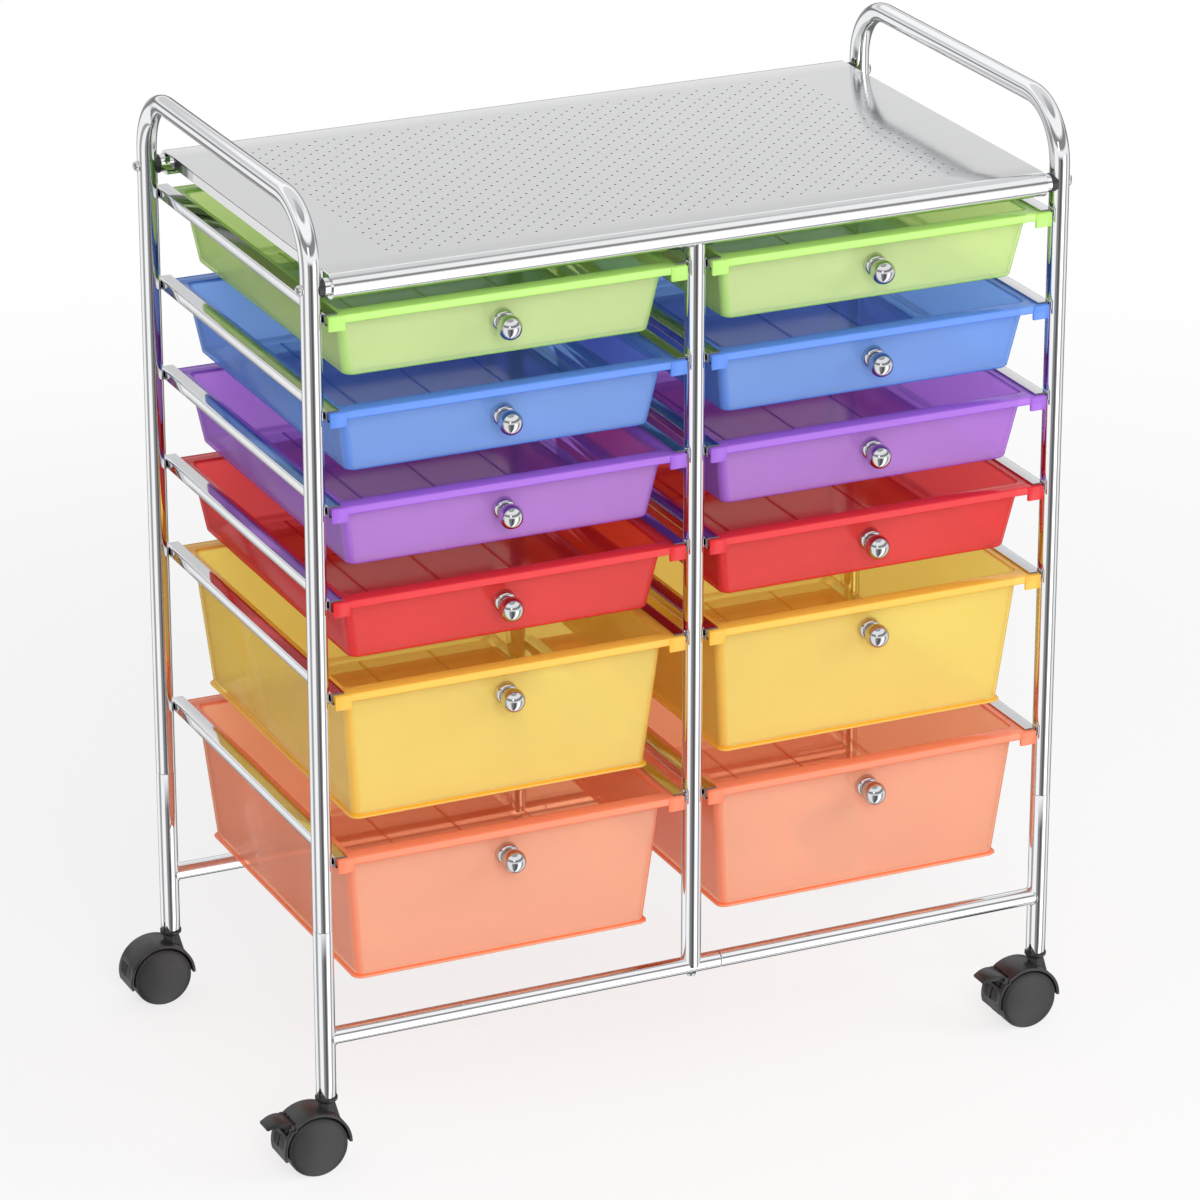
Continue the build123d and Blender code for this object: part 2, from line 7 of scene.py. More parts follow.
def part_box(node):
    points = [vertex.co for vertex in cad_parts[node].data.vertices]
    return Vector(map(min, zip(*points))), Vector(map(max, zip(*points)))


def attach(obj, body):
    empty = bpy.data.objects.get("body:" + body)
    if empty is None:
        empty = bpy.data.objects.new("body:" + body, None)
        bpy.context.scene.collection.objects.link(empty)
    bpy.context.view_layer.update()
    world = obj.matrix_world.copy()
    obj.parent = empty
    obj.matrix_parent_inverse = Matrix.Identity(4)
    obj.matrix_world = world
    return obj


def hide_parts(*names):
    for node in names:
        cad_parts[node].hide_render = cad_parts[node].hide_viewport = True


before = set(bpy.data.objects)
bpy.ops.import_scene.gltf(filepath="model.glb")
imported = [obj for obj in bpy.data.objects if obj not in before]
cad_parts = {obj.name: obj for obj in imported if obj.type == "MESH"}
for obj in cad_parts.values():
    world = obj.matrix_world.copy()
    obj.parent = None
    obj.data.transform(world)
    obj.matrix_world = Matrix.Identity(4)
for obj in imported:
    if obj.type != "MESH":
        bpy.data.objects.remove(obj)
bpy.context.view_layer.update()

# Side loops: each side of the cart is one length of steel tube, bent twice into a
# handle with two posts and chrome plated. Its open lower ends take the legs.
MM = 0.001
X_AXIS, Y_AXIS, Z_AXIS = Vector((1, 0, 0)), Vector((0, 1, 0)), Vector((0, 0, 1))
loop_low, loop_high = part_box("side_loop_left")
post_r = (loop_high.x - loop_low.x) / 2
post_x = -(loop_high.x + loop_low.x) / 2
post_y = loop_high.y - post_r
seam_z = loop_low.z
handle_z = loop_high.z - post_r
TUBE_WALL = 1.0 * MM
BEND_R = 48 * MM
BEND_STEPS = 20
TUBE_SIDES = 48
SOCKET_DEPTH = 20 * MM
NOISE_DETAIL = 3.0
NOISE_LOW, NOISE_HIGH = 0.3, 0.7
PLATE_SCALES = (14, 55, 60)
MERGE_WITHIN = 1e-7
SHARP_DEG = 32


def set_inputs(node, values):
    """Sets constant inputs of a node."""
    for socket, value in values.items():
        node.inputs[socket].default_value = value


def add_node(tree, kind, values=None, **settings):
    """A new node with its settings and its constant inputs."""
    node = tree.nodes.new(kind)
    for setting, value in settings.items():
        setattr(node, setting, value)
    set_inputs(node, values or {})
    return node


def feed(source, target):
    """Links the output of a node to an input of another."""
    target.id_data.links.new(source, target)


def finish_tree(name, values):
    """A new material with its shader's constant inputs, and the object coordinates that feed its patterns."""
    material = bpy.data.materials.new(name)
    material.use_nodes = True
    tree = material.node_tree
    shader = tree.nodes["Principled BSDF"]
    set_inputs(shader, values)
    return material, tree, shader, add_node(tree, "ShaderNodeTexCoord").outputs["Object"]


def noise_range(tree, where, scale, low, high):
    """A noise pattern on the object, spread over low to high."""
    noise = add_node(tree, "ShaderNodeTexNoise", {"Scale": scale, "Detail": NOISE_DETAIL})
    limits = {"From Min": NOISE_LOW, "From Max": NOISE_HIGH, "To Min": low, "To Max": high}
    spread = add_node(tree, "ShaderNodeMapRange", limits)
    feed(where, noise.inputs["Vector"])
    feed(noise.outputs["Fac"], spread.inputs["Value"])
    return spread.outputs["Result"]


def noise_colour(tree, where, scale, first, second):
    """Two close colours mixed by a soft noise pattern."""
    mix = add_node(tree, "ShaderNodeMix", {"A": (*first, 1), "B": (*second, 1)}, data_type="RGBA")
    feed(noise_range(tree, where, scale, 0.0, 1.0), mix.inputs["Factor"])
    return mix.outputs["Result"]


def noise_bump(tree, where, scale, height, shader):
    """Fine waves on the surface, height in metres."""
    bump = add_node(tree, "ShaderNodeBump", {"Strength": 1.0, "Distance": height})
    feed(noise_range(tree, where, scale, 0.0, 1.0), bump.inputs["Height"])
    feed(bump.outputs["Normal"], shader.inputs["Normal"])


def worn_finish(name, values, scales, pale, deep, smooth, dull, wave, grain=None):
    """Slightly uneven colour and gloss with fine waves, drawn out along a grain if there is one."""
    material, tree, shader, where = finish_tree(name, values)
    if grain:
        stretch = add_node(tree, "ShaderNodeMapping", {"Scale": grain})
        feed(where, stretch.inputs["Vector"])
        where = stretch.outputs["Vector"]
    tones, rubs, waves = scales
    feed(noise_colour(tree, where, tones, pale, deep), shader.inputs["Base Color"])
    feed(noise_range(tree, where, rubs, smooth, dull), shader.inputs["Roughness"])
    noise_bump(tree, where, waves, wave, shader)
    return material


def chrome(name, **look):
    """Plated steel: a faintly uneven mirror, a little duller where it is handled."""
    return worn_finish(name, {"Metallic": 1.0}, PLATE_SCALES, **look)


def plain_mesh(name, shape):
    """Merges the doubles of a shape, turns its faces outwards and makes it a mesh."""
    bmesh.ops.remove_doubles(shape, verts=shape.verts, dist=MERGE_WITHIN)
    bmesh.ops.recalc_face_normals(shape, faces=shape.faces)
    mesh = bpy.data.meshes.new(name)
    shape.to_mesh(mesh)
    shape.free()
    return mesh


def add_object(name, data):
    """A new object at the origin, in the scene."""
    made = bpy.data.objects.new(name, data)
    bpy.context.scene.collection.objects.link(made)
    return made


def dress(name, mesh, finish, body, slot, *replaced):
    """Gives a mesh its finish, its smooth shading and its place on a body."""
    mesh.materials.clear()
    mesh.materials.append(finish)
    mesh.polygons.foreach_set("use_smooth", [True] * len(mesh.polygons))
    mesh.set_sharp_from_angle(angle=radians(SHARP_DEG))
    made = add_object(name, mesh)
    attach(made, body)
    if replaced:
        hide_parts(*replaced)


def piece(name, shape, finish, body, slot, *replaced):
    """Turns a finished shape into an object on a body, standing for the CAD nodes that it replaces."""
    dress(name, plain_mesh(name, shape), finish, body, slot, *replaced)


def skin(shape, rings, closed=True):
    """Joins rings of as many points each by faces, closes the ends, and gives the rows of vertices."""
    rows = [[shape.verts.new(p) for p in ring] for ring in rings]
    count = len(rows[0])
    for low, high in zip(rows, rows[1:]):
        for i in range(count):
            j = (i + 1) % count
            shape.faces.new((low[i], low[j], high[j], high[i]))
    if closed:
        shape.faces.new(rows[0][::-1])
        shape.faces.new(rows[-1])
    return rows


def hoop(center, across, along, radius, sides):
    """Points of a circle, in the plane of two unit vectors."""
    turn = 2 * pi / sides
    return [
        center + radius * (cos(i * turn) * across + sin(i * turn) * along)
        for i in range(sides)
    ]


def loop_path(x):
    """Centre line of a side loop, as points with their directions, from the front seam to the rear one."""
    path = [(Vector((x, -post_y, seam_z)), Z_AXIS)]
    for side, start in ((-1, pi), (1, pi / 2)):
        center = Vector((x, side * (post_y - BEND_R), handle_z - BEND_R))
        for i in range(BEND_STEPS + 1):
            a = start - i * pi / 2 / BEND_STEPS
            spot = center + BEND_R * Vector((0, cos(a), sin(a)))
            path.append((spot, Vector((0, sin(a), -cos(a)))))
    path.append((Vector((x, post_y, seam_z)), -Z_AXIS))
    return path


def open_tube(shape, path, radius, flat, depth):
    """A tube along a path in a plane whose normal is flat, with its two ends bored out."""

    def ring(spot, along, r):
        return hoop(spot, flat, flat.cross(along), r, TUBE_SIDES)

    (first, out), (last, on) = path[0], path[-1]
    bore = radius - TUBE_WALL
    skin(shape, [
        ring(first + depth * out, out, bore),
        ring(first, out, bore),
        *(ring(spot, along, radius) for spot, along in path),
        ring(last, on, bore),
        ring(last - depth * on, on, bore),
    ])


tube_chrome = chrome(
    "chrome_tube", pale=(0.83, 0.835, 0.85), deep=(0.79, 0.795, 0.81), smooth=0.035, dull=0.075, wave=4e-6
)
for side, x in (("left", -post_x), ("right", post_x)):
    loop = bmesh.new()
    open_tube(loop, loop_path(x), post_r, X_AXIS, SOCKET_DEPTH)
    piece(f"bent_loop_{side}", loop, tube_chrome, "frame", "chrome_tube", f"side_loop_{side}")

# Lower legs: straight chrome tubes whose swaged upper ends push into the posts.
# The foot of each is slit, so that it can close on the caster's socket.
CORNERS = {
    "front_left": (-post_x, -post_y),
    "front_right": (post_x, -post_y),
    "rear_left": (-post_x, post_y),
    "rear_right": (post_x, post_y),
}
leg_low, leg_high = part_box("lower_leg_front_left")
leg_z = leg_low.z
PLUG_PLAY = 0.05 * MM
SEAM_ROUND = 0.5 * MM
SEAM_GAP = 0.3 * MM
SLIT_W = 1.2 * MM
SLIT_H = 10 * MM
SLIT_RING = 13 * MM
SLIT_DEG = 210
LATHE_SIDES = 48


def lathe(shape, profile, center, axis=Z_AXIS, sides=LATHE_SIDES):
    """Turns a profile of (radius, height) points about an axis. A radius of 0 is a pole."""
    up = Vector(axis)
    across = up.orthogonal().normalized()
    along = up.cross(across)
    rows = []
    for radius, height in profile:
        spot = Vector(center) + height * up
        if radius < MERGE_WITHIN:
            rows.append([shape.verts.new(spot)] * sides)
        else:
            rows.append([shape.verts.new(p) for p in hoop(spot, across, along, radius, sides)])
    for low, high in zip(rows, rows[1:]):
        for i in range(sides):
            j = (i + 1) % sides
            corners = list(dict.fromkeys((low[i], low[j], high[j], high[i])))
            if len(corners) > 2:
                shape.faces.new(corners)


def carve(solid, cutter):
    """What is left of one closed shape when another is cut out of it."""
    whole = add_object("solid", plain_mesh("solid", solid))
    tool = add_object("cutter", plain_mesh("cutter", cutter))
    cut = whole.modifiers.new("cut", "BOOLEAN")
    cut.object = tool
    cut.use_self = True
    depsgraph = bpy.context.evaluated_depsgraph_get()
    result = bmesh.new()
    result.from_mesh(whole.evaluated_get(depsgraph).to_mesh())
    for used in (whole, tool):
        bpy.data.objects.remove(used)
    return result


def slab(shape, low, high, bevel=0.0):
    """A box between two corners, its edges rounded if bevel is given."""
    made = bmesh.ops.create_cube(shape, size=1.0)["verts"]
    for v in made:
        v.co = Vector((low[k] if v.co[k] < 0 else high[k] for k in range(3)))
    if bevel:
        edges = {e for v in made for e in v.link_edges}
        bmesh.ops.bevel(shape, geom=list(edges), offset=bevel, segments=2, profile=0.5, affect="EDGES")


bore_r = post_r - TUBE_WALL
plug_r = bore_r - PLUG_PLAY
leg_top = seam_z - leg_z - SEAM_GAP
plug_top = leg_high.z - leg_z
leg_profile = [
    (bore_r, leg_top - SOCKET_DEPTH),
    (bore_r, 0),
    (post_r - SEAM_ROUND / 2, 0),
    (post_r, SEAM_ROUND),
    (post_r, SLIT_RING),
    (post_r, leg_top - SEAM_ROUND),
    (post_r - SEAM_ROUND / 2, leg_top),
    (plug_r, leg_top),
    (plug_r, plug_top),
    (plug_r - TUBE_WALL, plug_top),
    (plug_r - TUBE_WALL, leg_top - SOCKET_DEPTH),
    (bore_r, leg_top - SOCKET_DEPTH),
]
for corner, (x, y) in CORNERS.items():
    leg = bmesh.new()
    lathe(leg, leg_profile, (x, y, leg_z))
    slit = bmesh.new()
    slab(slit, (bore_r - TUBE_WALL, -SLIT_W / 2, -TUBE_WALL), (post_r + TUBE_WALL, SLIT_W / 2, SLIT_H))
    turn = Matrix.Rotation(radians(SLIT_DEG), 4, "Z")
    bmesh.ops.transform(slit, matrix=Matrix.Translation((x, y, leg_z)) @ turn, verts=slit.verts)
    leg = carve(leg, slit)
    piece(f"leg_tube_{corner}", leg, tube_chrome, "frame", "chrome_tube", f"lower_leg_{corner}")

# Top tubes: two chrome tubes across the cart, under the panel's curled edges, with
# a dark moulded saddle washer between each end and the post that it is screwed to.
tubes_low, tubes_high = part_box("top_tubes")
bar_r = (tubes_high.z - tubes_low.z) / 2
top_tube_z = tubes_low.z + bar_r
tube_half = tubes_high.x
SADDLE_LIP = 0.6 * MM
SADDLE_ROUND = 0.3 * MM
SADDLE_STOP = 0.55
PLASTIC_SCALES = (40, 160, 900)
PLASTIC_SHEEN = 0.45


def black_plastic(name, **look):
    """Moulded black plastic: a fine spark-eroded texture, a little greyer where it is rubbed."""
    return worn_finish(name, {"Specular IOR Level": PLASTIC_SHEEN}, PLASTIC_SCALES, **look)


tubes = bmesh.new()
for y in (-post_y, post_y):
    ends = [(Vector((x, y, top_tube_z)), X_AXIS) for x in (-tube_half, tube_half)]
    open_tube(tubes, ends, bar_r, Y_AXIS, TUBE_WALL)
piece("top_tube_pair", tubes, tube_chrome, "frame", "chrome_tube", "top_tubes")

moulded_black = black_plastic(
    "black_plastic",
    pale=(0.019, 0.019, 0.020), deep=(0.025, 0.025, 0.026), smooth=0.30, dull=0.37, wave=1.5e-6,
)
washer_r = bar_r + SADDLE_LIP
washer_l = post_x - tube_half - post_r * SADDLE_STOP
washer_profile = [
    (0, 0),
    (washer_r - SADDLE_ROUND, 0),
    (washer_r, SADDLE_ROUND),
    (washer_r, washer_l),
    (0, washer_l),
]
saddles = bmesh.new()
for x, y in CORNERS.values():
    out = 1 if x > 0 else -1
    lathe(saddles, washer_profile, (out * tube_half, y, top_tube_z), out * X_AXIS)
piece("saddle_washer_set", saddles, moulded_black, "frame", "black_plastic", "saddle_washers")

# Bottom bars: front and rear chrome tubes that tie the legs together. Each is two
# lengths plugged together beside the centre post, with a small weld at each leg.
bar_low, bar_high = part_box("bottom_bar_front")
bottom_bar_z = (bar_low.z + bar_high.z) / 2
BAR_SEAM_X = 24.5 * MM
BAR_SEAM_GAP = 0.3 * MM
WELD_R = 1.0 * MM
WELD_RINGS = 40
WELD_SIDES = 8


def bar_length(shape, x0, x1, y):
    """One length of bar with rounded cut ends."""
    length = x1 - x0
    profile = [
        (0, 0),
        (bar_r - SEAM_ROUND, 0),
        (bar_r, SEAM_ROUND),
        (bar_r, length - SEAM_ROUND),
        (bar_r - SEAM_ROUND, length),
        (0, length),
    ]
    lathe(shape, profile, (x0, y, bottom_bar_z), X_AXIS)


def weld_collar(shape, x, y, out):
    """A small bead of weld where a bottom bar meets the round side of a leg."""
    rings = []
    for i in range(WELD_RINGS):
        a = 2 * pi * i / WELD_RINGS
        radial = Vector((0, cos(a), sin(a)))
        reach = sqrt(post_r**2 - (bar_r * radial.y)**2)
        spot = Vector((x - out * reach, y, bottom_bar_z)) + bar_r * radial
        rings.append(hoop(spot, radial, out * X_AXIS, WELD_R, WELD_SIDES))
    skin(shape, rings + [rings[0]], closed=False)


for which, y in (("front", -post_y), ("rear", post_y)):
    bar = bmesh.new()
    tip = post_x - post_r / 2
    bar_length(bar, -tip, BAR_SEAM_X - BAR_SEAM_GAP, y)
    bar_length(bar, BAR_SEAM_X, tip, y)
    for out in (-1, 1):
        weld_collar(bar, out * post_x, y, out)
    piece(f"bottom_rail_{which}", bar, tube_chrome, "frame", "chrome_tube", f"bottom_bar_{which}")

# Centre posts: a front and a rear chrome tube between the columns, standing on the
# bottom bars and ending under the panel's curls, where a spigot enters the top tube.
panel_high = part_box("top_panel")[1]
curl_r = panel_high.y - post_y
POST_TOP_GAP = 0.3 * MM
COPE_STEPS = 48
COPE_SINK = 0.2 * MM
FOOT_TAPER = 0.6
SPIGOT_TAPER = 0.45


def coped_post(shape, y):
    """A post whose two ends follow the round bars that they meet."""
    reach = curl_r + POST_TOP_GAP
    rings = [[], [], [], []]
    for i in range(COPE_STEPS):
        a = 2 * pi * i / COPE_STEPS
        dx, dy = post_r * cos(a), post_r * sin(a)
        foot = bottom_bar_z + sqrt(max(bar_r**2 - dy**2, 0))
        head = top_tube_z - sqrt(max(reach**2 - dy**2, 0))
        levels = (
            (FOOT_TAPER, bottom_bar_z),
            (1, foot - COPE_SINK),
            (1, head),
            (SPIGOT_TAPER, top_tube_z - bar_r),
        )
        for ring, (share, z) in zip(rings, levels):
            ring.append(Vector((dx * share, y + dy * share, z)))
    skin(shape, rings)


posts = bmesh.new()
for y in (-post_y, post_y):
    coped_post(posts, y)
piece("center_post_pair", posts, tube_chrome, "frame", "chrome_tube", "center_posts")

# Top panel: one sheet of bright steel, its long edges curled over the top tubes and
# its short edges turned down. Small staggered holes are punched over the flat part.
panel_half = panel_high.x
panel_top = panel_high.z
SHEET_T = 1.2 * MM
CURL_T = 2.6 * MM
FLANGE_H = 9 * MM
FLANGE_SETBACK = 12 * MM
CURL_STEPS = 28
CURL_START, CURL_STOP = 90, 295
LIP_STEPS = 6
HOLE_R = 1.0 * MM
HOLE_SIDES = 12
COLUMN_PITCH = 8 * MM
ROW_PITCH = 15 * MM
COLUMNS_PER_SIDE = 30
ROWS_PER_SIDE = 9
CELL_MERGE = 1e-5
COPY_MERGE = 1e-6
# Dark grey of cut steel: bare steel, painted darker as the shade in the holes and at the rail ends.
RAW_STEEL_AND_SHADE = (0.09, 0.09, 0.095)
ROLLED_GRAIN = (0.6, 14, 14)
ROLLED_SCALES = (30, 60, 90)


def punched_cell():
    """One cell of the punched sheet: a hole with its raw wall, marked for painted shade, in a rectangle with
    shared edge points.
    """
    shape = bmesh.new()
    cut = shape.faces.layers.float.new("cut")
    half_x, half_y = COLUMN_PITCH / 2, ROW_PITCH / 2
    border = [
        (half_x, 0), (half_x, half_y), (-half_x, half_y),
        (-half_x, 0), (-half_x, -half_y), (half_x, -half_y),
    ]
    share = HOLE_SIDES // len(border)
    outlines, rims = [], []
    for z in (0, -SHEET_T):
        rim = hoop(Vector((0, 0, z)), X_AXIS, Y_AXIS, HOLE_R, HOLE_SIDES)
        outlines.append([shape.verts.new((bx, by, z)) for bx, by in border])
        rims.append([shape.verts.new(p) for p in rim])
    for outline, rim in zip(outlines, rims):
        for i in range(len(border)):
            hole = [rim[(i * share + k) % HOLE_SIDES] for k in range(share + 1)]
            shape.faces.new([outline[i], outline[(i + 1) % len(border)], *hole[::-1]])
    upper, lower = rims
    for i in range(HOLE_SIDES):
        j = (i + 1) % HOLE_SIDES
        wall = shape.faces.new((upper[i], upper[j], lower[j], lower[i]))
        wall[cut] = 1.0
    return shape


def place_copies_tree():
    """A node tree that sets a template on every point of a mesh, turned and joined into one mesh."""
    tree = bpy.data.node_groups.new("place_copies", "GeometryNodeTree")
    for name, way, kind in (
        ("Points", "INPUT", "NodeSocketGeometry"),
        ("Template", "INPUT", "NodeSocketObject"),
        ("Finish", "INPUT", "NodeSocketMaterial"),
        ("Joined within", "INPUT", "NodeSocketFloat"),
        ("Copies", "OUTPUT", "NodeSocketGeometry"),
    ):
        tree.interface.new_socket(name, in_out=way, socket_type=kind)
    enter = add_node(tree, "NodeGroupInput")
    leave = add_node(tree, "NodeGroupOutput")
    template = add_node(tree, "GeometryNodeObjectInfo")
    turn = add_node(tree, "GeometryNodeInputNamedAttribute", {"Name": "turn"}, data_type="FLOAT_VECTOR")
    copy = add_node(tree, "GeometryNodeInstanceOnPoints")
    real = add_node(tree, "GeometryNodeRealizeInstances")
    merge = add_node(tree, "GeometryNodeMergeByDistance")
    paint = add_node(tree, "GeometryNodeSetMaterial")
    feed(enter.outputs["Points"], copy.inputs["Points"])
    feed(enter.outputs["Template"], template.inputs["Object"])
    feed(template.outputs["Geometry"], copy.inputs["Instance"])
    feed(turn.outputs["Attribute"], copy.inputs["Rotation"])
    feed(enter.outputs["Joined within"], merge.inputs["Distance"])
    feed(enter.outputs["Finish"], paint.inputs["Material"])
    chain = (copy, real, merge, paint, leave)
    for earlier, later in zip(chain, chain[1:]):
        feed(earlier.outputs[0], later.inputs[0])
    return tree


place_copies = place_copies_tree()


def copies(name, template, points, turns, finish, joined=COPY_MERGE):
    """A plain mesh of the template at each point, each turned by its own angles."""
    mesh = bpy.data.meshes.new(name + "_template")
    template.to_mesh(mesh)
    template.free()
    pattern = add_object(name + "_template", mesh)
    host_mesh = bpy.data.meshes.new(name + "_points")
    host_mesh.from_pydata(points, [], [])
    turn = host_mesh.attributes.new("turn", "FLOAT_VECTOR", "POINT")
    turn.data.foreach_set("vector", [value for angles in turns for value in angles])
    host = add_object(name + "_points", host_mesh)
    modifier = host.modifiers.new("copies", "NODES")
    modifier.node_group = place_copies
    values = {"Template": pattern, "Finish": finish, "Joined within": joined}
    for item in place_copies.interface.items_tree:
        if item.name in values:
            modifier[item.identifier] = values[item.name]
    depsgraph = bpy.context.evaluated_depsgraph_get()
    result = bpy.data.meshes.new_from_object(host.evaluated_get(depsgraph))
    host.modifiers.remove(modifier)
    for made in (host, pattern):
        bpy.data.objects.remove(made)
    return result


def arc(cu, cv, radius, start, stop, steps):
    """Points along an arc, both ends included, its angles in degrees."""
    turns = [radians(start + (stop - start) * i / steps) for i in range(steps + 1)]
    return [(cu + radius * cos(a), cv + radius * sin(a)) for a in turns]


def sheet_steel(name, **look):
    """Bright rolled sheet: a soft mirror with a faint grain along the rolling direction."""
    return worn_finish(name, {"Metallic": 1.0}, ROLLED_SCALES, grain=ROLLED_GRAIN, **look)


def raw_and_shaded_where_cut(finish):
    """Turns a bright finish to dark raw steel where a piece's cut attribute is set: bare cut steel, painted
    darker as shade.
    """
    tree = finish.node_tree
    colour = tree.nodes["Principled BSDF"].inputs["Base Color"]
    bright = colour.links[0].from_socket
    cut = add_node(tree, "ShaderNodeAttribute", attribute_name="cut")
    mix = add_node(tree, "ShaderNodeMix", {"B": (*RAW_STEEL_AND_SHADE, 1)}, data_type="RGBA")
    feed(cut.outputs["Fac"], mix.inputs["Factor"])
    feed(bright, mix.inputs["A"])
    feed(mix.outputs["Result"], colour)


panel_steel = sheet_steel(
    "panel_steel", pale=(0.785, 0.79, 0.80), deep=(0.765, 0.77, 0.78), smooth=0.09, dull=0.13, wave=3e-7
)
# The walls of the punched holes get painted shade.
raw_and_shaded_where_cut(panel_steel)
field_x = (COLUMNS_PER_SIDE + 0.5) * COLUMN_PITCH
field_y = (ROWS_PER_SIDE + 1) * ROW_PITCH
sheet_low = panel_top - SHEET_T
flat_end = post_y - field_y
curl_middle = curl_r - CURL_T / 2
lip = radians(CURL_STOP)
lip_u, lip_v = curl_middle * cos(lip), curl_middle * sin(lip)
curl_outline = [
    *arc(0, 0, curl_r, CURL_START, CURL_STOP, CURL_STEPS),
    *arc(lip_u, lip_v, CURL_T / 2, CURL_STOP, CURL_STOP + 180, LIP_STEPS)[1:-1],
    *arc(0, 0, curl_r - CURL_T, CURL_STOP, CURL_START, CURL_STEPS),
    (0, curl_r - SHEET_T),
    (flat_end, curl_r - SHEET_T),
    (flat_end, curl_r),
]
panel = bmesh.new()
for side in (-1, 1):
    skin(panel, [
        [Vector((x, side * (post_y - u), top_tube_z + v)) for u, v in curl_outline]
        for x in (-panel_half, panel_half)
    ])
    slab(panel, (side * field_x, -field_y, sheet_low), (side * panel_half, field_y, panel_top))
    flange_in = side * (panel_half - SHEET_T)
    reach = post_y - FLANGE_SETBACK
    slab(
        panel,
        (flange_in, -reach, panel_top - FLANGE_H),
        (side * panel_half, reach, panel_top - SHEET_T / 2),
    )
    edge = side * (field_y - ROW_PITCH / 2)
    for column in range(-COLUMNS_PER_SIDE, COLUMNS_PER_SIDE + 1, 2):
        x0, x1 = (column - 0.5) * COLUMN_PITCH, (column + 0.5) * COLUMN_PITCH
        slab(panel, (x0, edge, sheet_low), (x1, side * field_y, panel_top))
piece("top_sheet", panel, panel_steel, "frame", "panel_steel", "top_panel")

holes = []
for column in range(-COLUMNS_PER_SIDE, COLUMNS_PER_SIDE + 1):
    if column % 2:
        rows = [(j + 0.5) * ROW_PITCH for j in range(-ROWS_PER_SIDE - 1, ROWS_PER_SIDE + 1)]
    else:
        rows = [j * ROW_PITCH for j in range(-ROWS_PER_SIDE, ROWS_PER_SIDE + 1)]
    holes += [(column * COLUMN_PITCH, y, panel_top) for y in rows]
unturned = [(0, 0, 0)]
punched = copies("punched_field", punched_cell(), holes, unturned * len(holes), panel_steel, CELL_MERGE)
field = bmesh.new()
field.from_mesh(punched)
bmesh.ops.bridge_loops(field, edges=[e for e in field.edges if e.is_boundary])
piece("punched_field", field, panel_steel, "frame", "panel_steel")

# Drawer rails: strips of thin plated steel rolled into a C, with a wide flange above
# and a short lip below, spot welded to the posts in rows of six. The sawn ends are raw
# steel, painted darker as shade.
rail_low, rail_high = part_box("rails_left")
rail_front, rail_rear = rail_low.y, rail_high.y
rail_top_w = rail_high.x - rail_low.x
RAIL_H = 9 * MM
RAIL_T = 1.0 * MM
RAIL_LIP = 4 * MM
RAIL_BEND = 1.3 * MM
BEND_POINTS = 5
FIRST_RAIL_DROP = 28.5 * MM
SHALLOW_PITCH = 76 * MM
DEEP_PITCH = 136 * MM
SHALLOW_ROWS = 4
rail_levels = [top_tube_z - FIRST_RAIL_DROP - SHALLOW_PITCH * row for row in range(SHALLOW_ROWS + 1)]
rail_levels.append(rail_levels[-1] - DEEP_PITCH)
CUT_BAND = 0.4 * MM
SPOT_W = 4.0 * MM
SPOT_H = 2.6 * MM
SPOT_PROUD = 0.9 * MM
SPOT_SINK = 0.1 * MM
SPOT_SHARES = (0.12, 0.88)


def rail_section():
    """Outline of the rolled C, its web along the height, as (width, height) points."""
    near = RAIL_T / 2 + RAIL_BEND
    outer, inner = (
        [
            (RAIL_LIP, depth),
            *arc(near, near, near - depth, 270, 180, BEND_POINTS),
            *arc(near, RAIL_H - near, near - depth, 180, 90, BEND_POINTS),
            (rail_top_w, RAIL_H - depth),
        ]
        for depth in (0, RAIL_T)
    )
    return outer + inner[::-1]


rail_chrome = chrome(
    "rail_steel", pale=(0.80, 0.805, 0.82), deep=(0.75, 0.755, 0.77), smooth=0.05, dull=0.10, wave=5e-6
)
raw_and_shaded_where_cut(rail_chrome)
rail_rows = {
    "rails_left": (-(post_x - post_r), 1),
    "rails_center_left": (-post_r, -1),
    "rails_center_right": (post_r, 1),
    "rails_right": (post_x - post_r, -1),
}
for node, (web_x, opening) in rail_rows.items():
    rails = bmesh.new()
    cut = rails.verts.layers.float.new("cut")
    for level in rail_levels:
        rows = skin(rails, [
            [Vector((web_x + opening * u, y, level + v)) for u, v in rail_section()]
            for y in (rail_front, rail_front + CUT_BAND, rail_rear - CUT_BAND, rail_rear)
        ])
        # The sawn ends are marked for raw steel with painted shade.
        for v in rows[0] + rows[-1]:
            v[cut] = 1.0
    piece(f"rolled_{node}", rails, rail_chrome, "frame", "rail_steel", node)

bead = bmesh.new()
bmesh.ops.create_icosphere(bead, subdivisions=2, radius=1.0)
for v in bead.verts:
    v.co = Vector((v.co.x * SPOT_PROUD, v.co.y * SPOT_W / 2, v.co.z * SPOT_H / 2))
spots = [
    (web_x + opening * SPOT_SINK, y, level + RAIL_H * share)
    for web_x, opening in rail_rows.values()
    for level in rail_levels
    for y in (-post_y, post_y)
    for share in SPOT_SHARES
]
welds = copies("rail_welds", bead, spots, unturned * len(spots), rail_chrome)
dress("rail_welds", welds, rail_chrome, "frame", "rail_steel")

# Screws: plated pan-head machine screws with a cross recess. Four hold the top tubes
# through the posts, and one under each bottom bar holds a centre post.
HEAD_R = 4.2 * MM
HEAD_H = 2.8 * MM
HEAD_EDGE = 0.35
HEAD_ROUND = 0.6
HEAD_SIDES = 32
SHANK_R = 2.4 * MM
SHANK_L = 6 * MM
RECESS_W = 1.1 * MM
RECESS_L = 4.6 * MM
RECESS_D = 1.3 * MM
DOME_STEPS = 6
POST_SCREW_TURN = 0.6
BAR_SCREW_TURN = 0.3


